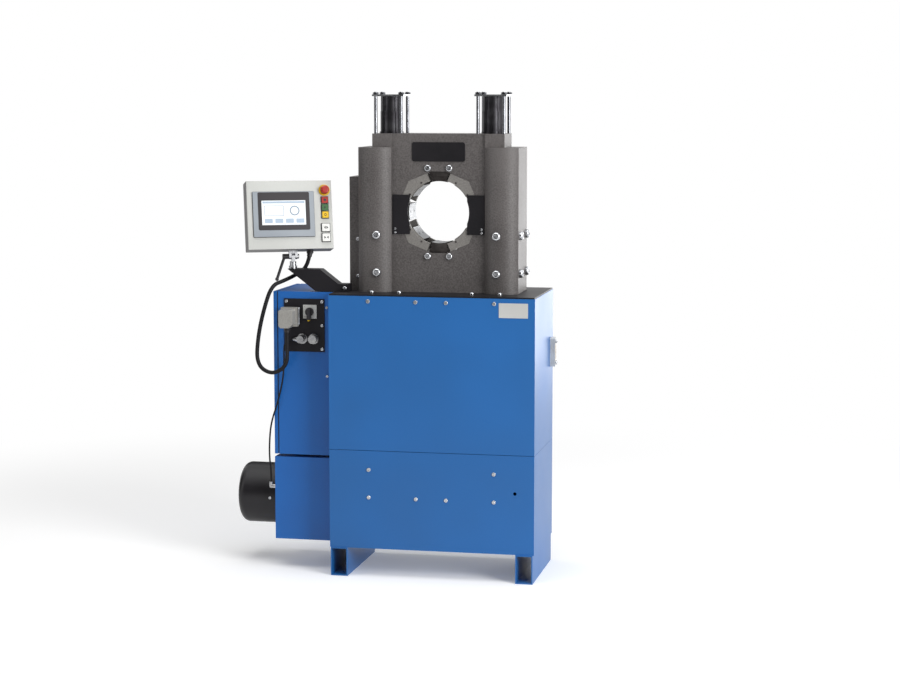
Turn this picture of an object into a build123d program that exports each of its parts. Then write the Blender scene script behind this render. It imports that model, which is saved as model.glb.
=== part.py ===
from build123d import *
import math
import os

os.makedirs("parts", exist_ok=True)

# Hose crimping machine. Origin: on the floor, straight below the centre of the press bore.
# X to the operator's right, Y to the back, Z up. Millimetres.

# ---------------------------------------------------------------- main cabinet and feet
cabinet_width = 720.0
cabinet_depth = 390.0
cabinet_height = 880.0
sheet = 3.0                      # steel sheet of every housing
lip_width = 28.0                 # folded lip the front covers are screwed to
foot_height = 100.0
foot_width = 60.0
foot_wall = 4.0
foot_inset = 4.0                 # from the cabinet side to the foot
foot_overhang = 5.0              # the foot runs past the cabinet at front and back
anchor_hole_radius = 7.0         # for M12 floor anchors, one at each end of a foot
anchor_hole_y = 150.0
top_plate_thickness = 5.0
top_plate_inset = 2.0
seam_height = 444.0              # joint between the upper and the lower front cover
seam_gap = 1.6
cover_fit = 0.2                  # clearance hole over a screw shank, on the radius

cabinet_x = cabinet_width / 2
cabinet_y = cabinet_depth / 2
cabinet_bottom = foot_height
cabinet_top = foot_height + cabinet_height
head_base = cabinet_top + top_plate_thickness

cover_screw_radius = 7.0
cover_screw_height = 4.0
cover_screw_shank = 3.0
cover_screw_outer_x = 220.0
cover_screw_inner_x = 53.0
cover_screw_top_z = 962.0
cover_screw_mid_z = 377.0
cover_screw_low_z = 280.0
drain_hole_x = 293.0
drain_hole_z = 312.0
drain_hole_radius = 6.0

blank_plate_width = 100.0
blank_plate_height = 50.0
blank_plate_thickness = 1.0
blank_plate_x = 286.0
blank_plate_z = 940.0

gauge_inset = 47.0               # from the back of the cabinet
gauge_z = 762.0
gauge_bolt_spacing = 76.0
gauge_body_height = 104.0
gauge_body_width = 28.0
gauge_body_depth = 18.0
gauge_bolt_radius = 6.0
gauge_bolt_head = 6.0
gauge_y = cabinet_y - gauge_inset

tank_left = -150.0
tank_front_inset = 45.0          # from the cabinet's front
tank_bottom = 480.0
tank_height = 360.0
tank_neck_radius = 26.0
tank_neck_height = 14.0
tank_gap = 1.0                   # to the cabinet's side and back

# ---------------------------------------------------------------- electrical box on the left
box_width = 220.0
box_front = -115.0
box_back = 185.0
box_bottom = 408.0
box_top = 983.0
door_thickness = 12.5
door_seal = 3.5
door_gap = 0.5
door_rim = 22.0                  # edge left around the door opening of the box
hinge_radius = 6.0
hinge_pin_radius = 3.0
hinge_length = 30.0
hinge_offset_x = 4.5             # hinge axis outside the door face
hinge_offset_y = 9.0             # hinge axis behind the box
hinge_fit = 0.08

box_right = -cabinet_x
box_left = box_right - box_width
box_shell_left = box_left + door_thickness + door_gap + door_seal
hinge_x = box_left - hinge_offset_x
hinge_y = box_back + hinge_offset_y

chassis_plate_thickness = 2.0
chassis_margin = 20.0
chassis_top_margin = 30.0
# depth, place from the box front, width, place above the box bottom and height of each unit
chassis_units_list = ((88.0, 115.0, 60.0, 392.0, 100.0),
                      (78.0, 195.0, 70.0, 372.0, 120.0),
                      (68.0, 95.0, 170.0, 212.0, 100.0),
                      (38.0, 55.0, 210.0, 42.0, 40.0))

socket_plate_width = 146.0
socket_plate_height = 186.0
socket_plate_thickness = 3.0
socket_plate_lap = 14.0          # over the edge of the opening behind it
socket_plate_x = -468.0
socket_plate_z = 866.0
plate_screw_radius = 5.5
plate_screw_height = 3.0
plate_screw_inset_x = 9.0
plate_screw_inset_z = 10.0
plate_front = box_front - socket_plate_thickness

connector_x = -517.0
connector_z = 893.0
connector_width = 50.0
connector_height = 64.0
connector_base_depth = 24.0
connector_hood_depth = 44.0
connector_corner = 14.0
connector_base_rim = 4.0
gland_radius = 12.0
gland_length = 16.0
latch_bar_radius = 2.5
latch_gap = 1.5

switch_x = -447.0
switch_z = 914.0
switch_plate_size = 48.0
switch_plate_thickness = 3.0
switch_knob_radius = 14.5
switch_knob_depth = 22.0
switch_grip_width = 12.0
switch_grip_length = 27.0
switch_stem_radius = 4.0

round_socket_z = 819.0
round_socket_left_x = -475.0
round_socket_right_x = -434.0
round_socket_radius = 18.0
round_socket_depth = 14.0
plug_radius = 11.0
plug_length = 26.0
cap_radius = 15.5
cap_depth = 10.0

# ---------------------------------------------------------------- pump housing and motor
pump_housing_bottom = 104.0
pump_housing_top = 398.0
motor_y = 35.0
motor_z = 240.0
cowl_radius = 108.0
cowl_length = 156.0
cowl_wall = 2.5
cowl_edge = 26.0
motor_body_radius = 88.0
motor_shaft_radius = 14.0
motor_body_length = 150.0
fan_radius = 84.0
fan_thickness = 22.0
bell_radius = 62.0
bell_length = 70.0
pump_size = 92.0
pump_length = 110.0
shaft_fit = 0.06
pump_shaft_radius = 10.0

# ---------------------------------------------------------------- press head
bore_height = 1262.0
bore_radius = 107.0              # between the open master dies
closing_stroke = 30.0            # of each die, towards the bore axis
head_height = 547.0
head_depth = 130.0
plate_thickness = 25.0
column_inner_x = 164.0
column_outer_x = 232.0
column_proud = 10.0
yoke_half_width = 200.0
yoke_clearance = 0.5
upper_bar_height = 35.0          # bars that join the two head plates
lower_bar_height = 40.0
upper_yoke_gap = 7.0             # free space above the raised upper yoke, under its bar
lower_yoke_gap = 9.0
octagon_apothem = 139.5          # the sliding faces around the eight dies
window_half = 141.0              # the plate window is cut off flat at this distance
die_half_width = 28.0
die_thickness = 18.0
carrier_half_width = 40.0
neck_half_width = 37.0
cheek_thickness = 12.0
cheek_side_inner = 30.0
cheek_side_outer = 42.0
cheek_bore_clear = 4.0
side_block_half = 158.0

head_top = head_base + head_height
head_y = head_depth / 2
middle_y = head_y - plate_thickness
octagon_corner = octagon_apothem / math.cos(math.radians(22.5))
upper_yoke_reach = head_top - upper_bar_height - upper_yoke_gap - bore_height
lower_yoke_reach = bore_height - head_base - lower_bar_height - lower_yoke_gap

die_bolt_radius = 4.0
flank_bolt_radius = 12.0
flank_bolt_height = 9.0
flank_bolt_x = 38.0
flank_bolt_offset = 152.0

guard_outer_x = 162.0
guard_inner_x = 101.0
guard_low = -76.0
guard_high = 60.0
guard_thickness = 4.0
guard_gap = 1.0
guard_screw_radius = 4.0

badge_width = 186.0
badge_height = 66.0
badge_thickness = 3.0
badge_z = 1470.0

cover_chord = 117.0
cover_arc_radius = 75.0
cover_front = -104.0
cover_back = 95.0
cover_inner_x = 164.5
cover_height = 500.0
cover_sheet = 3.0
cover_bolt_radius = 15.0
cover_bolt_height = 13.0
cover_bolt_x = 210.0
cover_bolt_low_z = 1054.0
cover_bolt_high_z = 1184.0
side_bolt_front_y = -50.0
side_bolt_back_y = 70.0

side_box_width = 45.0
side_box_front = -25.0
side_box_back = 85.0
side_box_height = 396.0
side_box_screw_radius = 7.0

cap_x = 180.0
cap_plate_x = 112.0
cap_plate_y = 122.0
cap_plate_thickness = 6.0
cap_height = 128.0
tie_rod_radius = 6.0
tie_rod_spacing_x = 90.0
tie_rod_spacing_y = 100.0
barrel_radius = 39.0
barrel_wall = 9.0
barrel_split = 72.0
barrel_rim = 3.0
piston_rod_radius = 14.0
piston_thickness = 16.0
piston_fit = 0.1

lower_barrel_length = 110.0
lower_barrel_radius = 39.0

# ---------------------------------------------------------------- operator panel and its arm
arm_front_y = -112.0
arm_depth = 50.0
arm_width = 117.0
arm_foot_x = -428.0
arm_lean = 101.0
arm_height = 77.0
arm_sheet = 3.0
arm_flange_length = 34.0

pivot_x = -518.0
pivot_y = -78.0
pivot_z = 1103.0
panel_turn = 25.0
panel_tilt = 12.0
panel_width = 300.0
panel_height = 240.0
panel_depth = 75.0
panel_shift_x = -12.0
panel_front_y = -45.0
panel_lift = 20.0
panel_wall = 3.0
hmi_width = 214.0
hmi_height = 158.0
hmi_left = 21.0
hmi_drop = 39.0
hmi_frame_depth = 6.0
bezel_inset_left = 18.0
bezel_width = 181.0
bezel_height = 131.0
bezel_drop = 2.0
bezel_depth = 2.0
screen_width = 154.0
screen_height = 86.0
screen_left = 12.0
screen_drop = 29.0
screen_depth = 1.0
button_x = 274.0
estop_drop = 35.0
estop_radius = 15.0
estop_stem_radius = 8.0
estop_depth = 16.0
estop_travel = 4.0
estop_collar_radius = 20.0
small_button_size = 22.0
small_button_drops = (70.0, 96.0, 122.0)
large_button_size = 27.0
large_button_drops = (167.0, 202.0)
button_depth = 5.0
button_travel = 3.0
button_fit = 0.4
button_rim = 2.5
panel_gland_x = 63.0
panel_gland_y = 14.0
panel_gland_lean = 14.0

post_radius = 12.0
fork_gap = 0.5
lug_thickness = 12.0
fork_cheek = 8.0
pivot_pin_radius = 5.0
pivot_fit = 0.08
lever_hub_radius = 9.0
lever_hub_length = 22.0
lever_length = 78.0
lever_radius = 5.0

# ---------------------------------------------------------------- cords
panel_cord_radius = 7.0
sensor_cord_radius = 3.0


def block(x0, x1, y0, y1, z0, z1):
    """A box between two corners."""
    centre = Pos((x0 + x1) / 2, (y0 + y1) / 2, (z0 + z1) / 2)
    return centre * Box(x1 - x0, y1 - y0, z1 - z0)


def rod_x(x0, x1, y, z, radius):
    """A round bar along X."""
    return Pos((x0 + x1) / 2, y, z) * Rot(0, 90, 0) * Cylinder(radius, x1 - x0)


def rod_y(x, y0, y1, z, radius):
    """A round bar along Y."""
    return Pos(x, (y0 + y1) / 2, z) * Rot(90, 0, 0) * Cylinder(radius, y1 - y0)


def rod_z(x, y, z0, z1, radius):
    """A round bar along Z."""
    return Pos(x, y, (z0 + z1) / 2) * Cylinder(radius, z1 - z0)


def prism_y(points, y0, y1):
    """A profile drawn in X and Z, run from y0 to y1."""
    face = Face(Wire.make_polygon([(x, y0, z) for x, z in points]))
    return Solid.extrude(face, Vector(0, y1 - y0, 0))


def prism_z(points, z0, z1):
    """A profile drawn in X and Y, run from z0 to z1."""
    face = Face(Wire.make_polygon([(x, y, z0) for x, y in points]))
    return Solid.extrude(face, Vector(0, 0, z1 - z0))


def group(solids):
    """Separate solids kept together in one node."""
    return Compound(children=list(solids))


def save(name, shape):
    """Writes one node."""
    export_step(shape, f"parts/{name}.step")
    print(name, len(shape.solids()), "solids", round(shape.volume / 1000.0, 1), "cm3")


def button_screw(radius, height, shank_radius, shank_length):
    """A round-headed socket screw; its head stands on Z = 0 and its shank goes down."""
    head = Pos(0, 0, height / 2) * Cylinder(radius, height)
    head = fillet(head.edges().sort_by(Axis.Z)[-1], height * 0.55)
    socket = extrude(RegularPolygon(radius * 0.5, 6), amount=height * 0.5)
    head -= Pos(0, 0, height * 0.5) * socket
    if shank_length:
        head += Pos(0, 0, -shank_length / 2) * Cylinder(shank_radius, shank_length)
    return head


def facing_front(x, y, z):
    """Stands a piece built along +Z on a plane that faces the operator."""
    return Pos(x, y, z) * Rot(90, 0, 0)


def facing_right(x, y, z):
    """Stands a piece built along +Z on a plane that faces +X."""
    return Pos(x, y, z) * Rot(0, 90, 0)


def facing_left(x, y, z):
    """Stands a piece built along +Z on a plane that faces -X."""
    return Pos(x, y, z) * Rot(0, -90, 0)


# ================================================================ cabinet
def cabinet_feet():
    feet = []
    foot_end = cabinet_y + foot_overhang
    for side in (-1, 1):
        outer = side * (cabinet_x - foot_inset)
        x0, x1 = sorted((outer, outer - side * foot_width))
        tube = block(x0, x1, -foot_end, foot_end, 0, foot_height)
        tube -= block(x0 + foot_wall, x1 - foot_wall, -foot_end - 1, foot_end + 1,
                      foot_wall, foot_height - foot_wall)
        for y in (-anchor_hole_y, anchor_hole_y):
            tube -= rod_z((x0 + x1) / 2, y, -1, foot_wall + 1, anchor_hole_radius)
        feet.append(tube)
    return group(feet)


cover_screw_spots = [(side * x, cover_screw_top_z) for side in (-1, 1)
                     for x in (cover_screw_outer_x, cover_screw_inner_x)]
cover_screw_spots += [(side * cover_screw_outer_x, cover_screw_mid_z) for side in (-1, 1)]
cover_screw_spots += [(side * x, cover_screw_low_z) for side in (-1, 1)
                      for x in (cover_screw_outer_x, cover_screw_inner_x)]
shell_front = -cabinet_y + sheet


def drill_front(shape, spots, y0, y1, radius):
    """Drills the same row of holes along Y through a cover and the lip behind it."""
    for x, z in spots:
        shape -= rod_y(x, y0, y1, z, radius)
    return shape


def cabinet_shell():
    shell = block(-cabinet_x, cabinet_x, shell_front, cabinet_y, cabinet_bottom, cabinet_top)
    shell -= block(-cabinet_x + sheet, cabinet_x - sheet, shell_front + sheet, cabinet_y - sheet,
                   cabinet_bottom + sheet, cabinet_top + 1)
    half_rail = lip_width / 2
    stops = [cabinet_bottom + lip_width,
             cover_screw_low_z - half_rail, cover_screw_low_z + half_rail,
             cover_screw_mid_z - half_rail, cover_screw_mid_z + half_rail,
             cabinet_top - lip_width]
    for low, high in zip(stops[0::2], stops[1::2]):
        shell -= block(-cabinet_x + lip_width, cabinet_x - lip_width,
                       shell_front - 1, shell_front + sheet + 1, low, high)
    shell = drill_front(shell, cover_screw_spots, shell_front - 1, shell_front + sheet + 1,
                        cover_screw_shank + cover_fit)
    shell -= rod_x(-cabinet_x - 1, -cabinet_x + sheet + 1, motor_y, motor_z, bell_radius + 2)
    shell -= block(cabinet_x - sheet / 3, cabinet_x + 1, shell_front, cabinet_y,
                   seam_height - seam_gap / 2, seam_height + seam_gap / 2)
    return shell


def front_cover(z0, z1):
    cover = block(-cabinet_x, cabinet_x, -cabinet_y, shell_front, z0, z1)
    cover = drill_front(cover, [spot for spot in cover_screw_spots if z0 < spot[1] < z1],
                        -cabinet_y - 1, shell_front + 1, cover_screw_shank + cover_fit)
    if z0 < drain_hole_z < z1:
        cover -= rod_y(drain_hole_x, -cabinet_y - 1, shell_front + 1, drain_hole_z, drain_hole_radius)
    return cover


def cabinet_top_plate():
    reach_x = cabinet_x - top_plate_inset
    reach_y = cabinet_y - top_plate_inset
    plate = block(-reach_x, reach_x, -reach_y, reach_y, cabinet_top, head_base)
    for side in (-1, 1):
        plate -= rod_z(side * cap_x, 0, cabinet_top - 1, head_base + 1, piston_rod_radius + piston_fit)
    return plate


def cover_screws():
    screw = button_screw(cover_screw_radius, cover_screw_height, cover_screw_shank, 2 * sheet + 2)
    return group(facing_front(x, -cabinet_y, z) * screw for x, z in cover_screw_spots)


def blank_plate():
    x0 = blank_plate_x - blank_plate_width / 2
    z0 = blank_plate_z - blank_plate_height / 2
    return block(x0, x0 + blank_plate_width, -cabinet_y - blank_plate_thickness, -cabinet_y,
                 z0, z0 + blank_plate_height)


def level_gauge():
    """Sight gauge of the oil tank: body, glass and its two banjo bolts."""
    face = cabinet_x + gauge_body_depth
    half_width = gauge_body_width / 2
    half_height = gauge_body_height / 2
    window = gauge_bolt_spacing / 2 - gauge_bolt_radius - 6
    body = block(cabinet_x, face, gauge_y - half_width, gauge_y + half_width,
                 gauge_z - half_height, gauge_z + half_height)
    body = fillet(body.edges().filter_by(Axis.X), 6)
    body -= block(face - 8, face + 1, gauge_y - 7, gauge_y + 7, gauge_z - window, gauge_z + window)
    glass = block(face - 8, face - 1, gauge_y - 6.9, gauge_y + 6.9,
                  gauge_z - window + 0.1, gauge_z + window - 0.1)
    bolts = []
    for side in (-1, 1):
        z = gauge_z + side * gauge_bolt_spacing / 2
        body -= rod_x(cabinet_x - 1, face + 1, gauge_y, z, gauge_bolt_radius - 1 + cover_fit)
        bolt = button_screw(gauge_bolt_radius + 2, gauge_bolt_head, gauge_bolt_radius - 1,
                            gauge_body_depth)
        bolts.append(facing_right(face, gauge_y, z) * bolt)
    return body, glass, group(bolts)


def oil_tank():
    """Closed steel tank behind the sight gauge, with its filler neck."""
    x0, x1 = tank_left, cabinet_x - sheet - tank_gap
    y0, y1 = tank_front_inset - cabinet_y, cabinet_y - sheet - tank_gap
    z0, z1 = tank_bottom, tank_bottom + tank_height
    tank = block(x0, x1, y0, y1, z0, z1)
    tank -= block(x0 + sheet, x1 - sheet, y0 + sheet, y1 - sheet, z0 + sheet, z1 - sheet)
    tank += rod_z(0, 0, z1, z1 + tank_neck_height, tank_neck_radius)
    return tank


# ================================================================ electrical box
def electrical_box():
    shell = block(box_shell_left, box_right, box_front, box_back, box_bottom, box_top)
    shell -= block(box_shell_left + sheet, box_right - sheet, box_front + sheet, box_back - sheet,
                   box_bottom + sheet, box_top - sheet)
    shell -= block(box_shell_left - 1, box_shell_left + sheet + 1, box_front + door_rim, box_back - door_rim,
                   box_bottom + door_rim, box_top - door_rim)
    shell -= block(socket_plate_x - socket_plate_width / 2 + socket_plate_lap,
                   socket_plate_x + socket_plate_width / 2 - socket_plate_lap,
                   box_front - 1, box_front + sheet + 1,
                   socket_plate_z - socket_plate_height / 2 + socket_plate_lap,
                   socket_plate_z + socket_plate_height / 2 - socket_plate_lap)
    for x, z in plate_screw_spots:
        shell -= rod_y(x, box_front - 1, box_front + sheet + 1, z, cover_screw_shank + cover_fit)
    for z in hinge_heights:
        leaf = block(hinge_x, box_shell_left + 24, box_back, box_back + sheet,
                     z - hinge_length, z - door_gap / 2)
        knuckle = rod_z(hinge_x, hinge_y, z - hinge_length, z - door_gap / 2, hinge_radius)
        web = block(hinge_x - 2, hinge_x + 2, box_back + 1, hinge_y, z - hinge_length, z - door_gap / 2)
        shell += leaf + knuckle + web
        shell -= rod_z(hinge_x, hinge_y, z - hinge_length - 1, z, hinge_pin_radius)
    return shell


hinge_heights = (510.0, 890.0)
left_spots_x = socket_plate_x - socket_plate_width / 2 + plate_screw_inset_x
right_spots_x = socket_plate_x + socket_plate_width / 2 - plate_screw_inset_x
high_spots_z = socket_plate_z + socket_plate_height / 2 - plate_screw_inset_z
low_spots_z = socket_plate_z - socket_plate_height / 2 + plate_screw_inset_z
plate_screw_spots = [(left_spots_x, high_spots_z), (right_spots_x, high_spots_z),
                     (right_spots_x, socket_plate_z), (left_spots_x, low_spots_z),
                     (right_spots_x, low_spots_z)]


def door_seal_ring():
    ring = block(box_shell_left - door_seal, box_shell_left, box_front + 1, box_back - 4,
                 box_bottom + 2, box_top - 2)
    ring -= block(box_shell_left - door_seal - 1, box_shell_left + 1, box_front + 15, box_back - 18,
                  box_bottom + 16, box_top - 16)
    return ring


def box_door():
    skin = 2.0
    rim = 9.0
    door_back = box_back - 2
    inner = box_left + door_thickness
    door = block(box_left, inner, box_front, door_back, box_bottom, box_top)
    door -= block(box_left + skin, inner + 1, box_front + rim, door_back - rim,
                  box_bottom + rim, box_top - rim)
    for z in lock_heights:
        door -= rod_x(box_left - 1, inner + 1, lock_y, z, lock_radius)
    for z in hinge_heights:
        low = z + door_gap / 2
        high = z + hinge_length
        door += rod_z(hinge_x, hinge_y, low, high, hinge_radius)
        door += block(hinge_x - 2, box_left + skin, door_back - rim, hinge_y, low, high)
        door -= rod_z(hinge_x, hinge_y, low - 1, high + 1, hinge_pin_radius + hinge_fit)
    return door


lock_heights = (600.0, 790.0)
lock_y = box_front + 24.0
lock_radius = 9.0


def door_locks():
    """Key-turned quarter locks; only their barrels show."""
    locks = []
    for z in lock_heights:
        lock = rod_x(box_left - 2, box_left + door_thickness - 1, lock_y, z, lock_radius)
        lock -= rod_x(box_left - 3, box_left + 2, lock_y, z, 4)
        locks.append(lock)
    return group(locks)


def door_hinge_pins():
    return group(rod_z(hinge_x, hinge_y, z - hinge_length + 1, z + hinge_length - 2, hinge_pin_radius)
                 for z in hinge_heights)


def electrical_chassis():
    """Mounting plate with the motor contactor, the controller and the supply, inside the box."""
    back = box_right - sheet
    face = back - chassis_plate_thickness
    plate = block(face, back, box_front + chassis_margin, box_back - chassis_margin,
                  box_bottom + chassis_margin, box_top - chassis_top_margin)
    units = [block(face - depth, face, box_front + front, box_front + front + width,
                   box_bottom + low, box_bottom + low + height)
             for depth, front, width, low, height in chassis_units_list]
    return plate, group(units)


def socket_plate():
    x0 = socket_plate_x - socket_plate_width / 2
    z0 = socket_plate_z - socket_plate_height / 2
    plate = block(x0, x0 + socket_plate_width, plate_front, box_front, z0, z0 + socket_plate_height)
    for x, z in plate_screw_spots:
        plate -= rod_y(x, plate_front - 1, box_front + 1, z, cover_screw_shank + cover_fit)
    plate -= rod_y(switch_x, plate_front - 1, box_front + 1, switch_z, switch_stem_radius + shaft_fit)
    return plate


def plate_screws():
    screw = button_screw(plate_screw_radius, plate_screw_height, cover_screw_shank,
                         socket_plate_thickness + sheet + 2)
    return group(facing_front(x, plate_front, z) * screw for x, z in plate_screw_spots)


connector_base_front = plate_front - connector_base_depth
connector_hood_front = connector_base_front - connector_hood_depth
connector_bottom = connector_z - connector_height / 2
latch_x = connector_x + connector_width / 2 + connector_base_rim + latch_gap + latch_bar_radius
latch_pivot_y = plate_front - connector_base_depth / 2
latch_pivot_z = connector_bottom + 6


def connector_base():
    half_x = connector_width / 2 + connector_base_rim
    base = block(connector_x - half_x, connector_x + half_x, connector_base_front, plate_front,
                 connector_bottom + 2, connector_z + connector_height / 2 + connector_base_rim)
    base -= rod_x(connector_x + half_x - 8, connector_x + half_x + 1, latch_pivot_y, latch_pivot_z + 4,
                  latch_bar_radius + shaft_fit)
    return base


def connector_hood():
    half_x = connector_width / 2
    top = connector_z + connector_height / 2
    low = connector_bottom
    c = connector_corner
    outline = [(connector_x - half_x + c / 3, top), (connector_x + half_x - c / 3, top),
               (connector_x + half_x, top - c / 3), (connector_x + half_x, low + c),
               (connector_x + half_x - c, low), (connector_x - half_x + c / 2, low),
               (connector_x - half_x, low + c / 2), (connector_x - half_x, top - c / 3)]
    return prism_y(outline, connector_hood_front, connector_base_front)


gland_y = connector_base_front - connector_hood_depth / 2
gland_end_z = connector_bottom - gland_length


def connector_gland():
    nut = Pos(connector_x, gland_y, connector_bottom - 9) * extrude(RegularPolygon(gland_radius, 6), amount=9)
    return nut + rod_z(connector_x, gland_y, gland_end_z, connector_bottom - 9, gland_radius - 3)


def connector_latch():
    """Locking lever beside the hood; it swings forward about the stub in the base."""
    z = latch_pivot_z + 4
    top = connector_z + connector_height / 2
    lever = rod_z(latch_x, latch_pivot_y, z, top, latch_bar_radius)
    lever += Pos(latch_x, latch_pivot_y, z) * Sphere(latch_bar_radius)
    lever += rod_x(latch_x - latch_bar_radius - latch_gap - 6, latch_x, latch_pivot_y, z, latch_bar_radius)
    lever += Pos(latch_x, latch_pivot_y, top) * Sphere(latch_bar_radius * 1.6)
    return lever


def switch_plate():
    half = switch_plate_size / 2
    plate = block(switch_x - half, switch_x + half, plate_front - switch_plate_thickness, plate_front,
                  switch_z - half, switch_z + half)
    plate -= rod_y(switch_x, plate_front - switch_plate_thickness - 1, plate_front + 1, switch_z,
                   switch_stem_radius + shaft_fit)
    return plate


switch_face = plate_front - switch_plate_thickness


def switch_knob():
    front = switch_face - door_gap
    knob = rod_y(switch_x, front - switch_knob_depth * 0.45, front, switch_z, switch_knob_radius)
    knob += block(switch_x - switch_grip_width / 2, switch_x + switch_grip_width / 2,
                  front - switch_knob_depth, front - 2,
                  switch_z - switch_grip_length, switch_z + switch_knob_radius - 3)
    knob += rod_y(switch_x, front - 1, box_front + sheet + 8, switch_z, switch_stem_radius)
    return knob


def switch_pointer():
    front = switch_face - door_gap
    return block(switch_x - 2.5, switch_x + 2.5, front - switch_knob_depth + 2, front - 6,
                 switch_z - switch_grip_length - 4, switch_z - switch_grip_length)


def round_sockets():
    rings = []
    for x in (round_socket_left_x, round_socket_right_x):
        ring = rod_y(x, plate_front - 4, plate_front, round_socket_z, round_socket_radius)
        ring += rod_y(x, plate_front - round_socket_depth, plate_front - 4, round_socket_z,
                      round_socket_radius - 4)
        rings.append(ring)
    return group(rings)


plug_y = plate_front - round_socket_depth - plug_radius
plug_end_x = round_socket_left_x - plug_length


def sensor_plug():
    """Angled plug in the left socket; its cord leaves to the left."""
    plug = rod_y(round_socket_left_x, plug_y - plug_radius + 2, plate_front - round_socket_depth,
                 round_socket_z, plug_radius + 2)
    plug += rod_x(plug_end_x + 10, round_socket_left_x, plug_y, round_socket_z, plug_radius - 2)
    plug += rod_x(plug_end_x, plug_end_x + 10, plug_y, round_socket_z, plug_radius - 5)
    return plug


def socket_cap():
    face = plate_front - round_socket_depth
    cap = rod_y(round_socket_right_x, face - cap_depth, face, round_socket_z, cap_radius)
    for step in range(12):
        angle = math.radians(step * 30)
        cap -= rod_y(round_socket_right_x + cap_radius * math.cos(angle), face - cap_depth - 1, face + 1,
                     round_socket_z + cap_radius * math.sin(angle), 1.6)
    return cap


# ================================================================ pump housing and motor
housing_left = box_left


def pump_housing():
    shell = block(housing_left, box_right, box_front, box_back, pump_housing_bottom, pump_housing_top)
    shell -= block(housing_left + sheet, box_right - sheet, box_front + sheet, box_back - sheet,
                   pump_housing_bottom + sheet, pump_housing_top - sheet)
    shell -= rod_x(housing_left - 1, housing_left + sheet + 1, motor_y, motor_z, motor_body_radius + 2)
    shell -= rod_x(box_right - sheet - 1, box_right + 1, motor_y, motor_z, bell_radius + 2)
    return shell


cowl_end = housing_left - cowl_length
stator_x0 = housing_left - 60
stator_x1 = stator_x0 + motor_body_length
bell_x1 = stator_x1 + bell_length
fan_x0 = cowl_end + 34


def motor_cowl():
    """Pressed steel fan cowl with air slots in its end."""
    cowl = rod_x(cowl_end, housing_left, motor_y, motor_z, cowl_radius)
    cowl = fillet(cowl.edges().sort_by(Axis.X)[0], cowl_edge)
    inner = rod_x(cowl_end + cowl_wall, housing_left + 1, motor_y, motor_z, cowl_radius - cowl_wall)
    inner = fillet(inner.edges().sort_by(Axis.X)[0], cowl_edge - cowl_wall)
    cowl -= inner
    for radius, count in ((24, 8), (44, 14), (64, 20)):
        for step in range(count):
            angle = 2 * math.pi * step / count
            cowl -= rod_x(cowl_end - 1, cowl_end + cowl_wall + 2, motor_y + radius * math.cos(angle),
                          motor_z + radius * math.sin(angle), 4)
    for x, y, z, angle in cowl_screw_spots:
        cowl -= Pos(x, y, z) * Rot(angle, 0, 0) * Cylinder(cover_screw_shank + cover_fit, 12)
    return cowl


cowl_screw_x = housing_left - 32.0
cowl_screw_spots = [(cowl_screw_x, motor_y - cowl_radius * math.sin(math.radians(angle)),
                     motor_z + cowl_radius * math.cos(math.radians(angle)), angle)
                    for angle in (90, 210, 330)]


def cowl_screws():
    screw = button_screw(5.5, 3.0, cover_screw_shank, 6)
    return group(Pos(x, y, z) * Rot(angle, 0, 0) * screw for x, y, z, angle in cowl_screw_spots)


def motor_stator():
    stator = rod_x(stator_x0, stator_x1, motor_y, motor_z, motor_body_radius)
    stator -= rod_x(stator_x0 - 1, stator_x1 + 1, motor_y, motor_z, motor_shaft_radius + shaft_fit)
    return stator


def motor_foot():
    foot = block(housing_left + 30, stator_x1 - 10, motor_y - 60, motor_y + 60,
                 pump_housing_bottom + sheet, motor_z - 50)
    foot -= rod_x(stator_x0 - 1, stator_x1 + 1, motor_y, motor_z, motor_body_radius)
    return foot


def motor_shaft():
    shaft = rod_x(fan_x0, stator_x1 + 22, motor_y, motor_z, motor_shaft_radius)
    shaft += rod_x(stator_x1 + 22, bell_x1 + 20, motor_y, motor_z, pump_shaft_radius)
    return shaft


def motor_fan():
    fan = rod_x(fan_x0, fan_x0 + fan_thickness, motor_y, motor_z, 34)
    for step in range(9):
        blade = block(fan_x0, fan_x0 + fan_thickness, -2, 2, 30, fan_radius)
        fan += Pos(0, motor_y, motor_z) * Rot(step * 40, 0, 0) * blade
    fan -= rod_x(fan_x0 - 1, fan_x0 + fan_thickness + 1, motor_y, motor_z, motor_shaft_radius)
    return fan


def shaft_coupling():
    coupling = rod_x(stator_x1 + 8, bell_x1 - 10, motor_y, motor_z, 32)
    coupling -= rod_x(stator_x1 + 7, stator_x1 + 22, motor_y, motor_z, motor_shaft_radius)
    coupling -= rod_x(stator_x1 + 22, bell_x1 - 9, motor_y, motor_z, pump_shaft_radius)
    return coupling


def bell_housing():
    bell = rod_x(stator_x1, bell_x1, motor_y, motor_z, bell_radius)
    bell -= rod_x(stator_x1 - 1, bell_x1 + 1, motor_y, motor_z, bell_radius - 14)
    return bell


def hydraulic_pump():
    pump = rod_x(bell_x1, bell_x1 + pump_length, motor_y, motor_z, pump_size / 2)
    pump += rod_x(bell_x1, bell_x1 + 12, motor_y, motor_z, bell_radius - 2)
    pump -= rod_x(bell_x1 - 1, bell_x1 + 24, motor_y, motor_z, pump_shaft_radius + shaft_fit)
    return pump


# ================================================================ press head
def at_bore(x, z):
    """A point of the head's front view, measured from the bore axis."""
    return (x, bore_height + z)


def mirrored(points):
    """The same outline on the other side of the bore axis, still in order."""
    return [(-x, z) for x, z in reversed(points)]


def octagon(apothem):
    """Regular octagon around the bore with its corners at every 45 degrees."""
    corner = apothem / math.cos(math.radians(22.5))
    return [at_bore(corner * math.cos(math.radians(45 * k)), corner * math.sin(math.radians(45 * k)))
            for k in range(8)]


def plate_window(apothem, half, y0, y1):
    """The opening of the head plates: an octagon cut off flat at top, bottom and sides."""
    window = prism_y(octagon(apothem), y0, y1)
    return window & block(-half, half, y0, y1, bore_height - half, bore_height + half)


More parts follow.
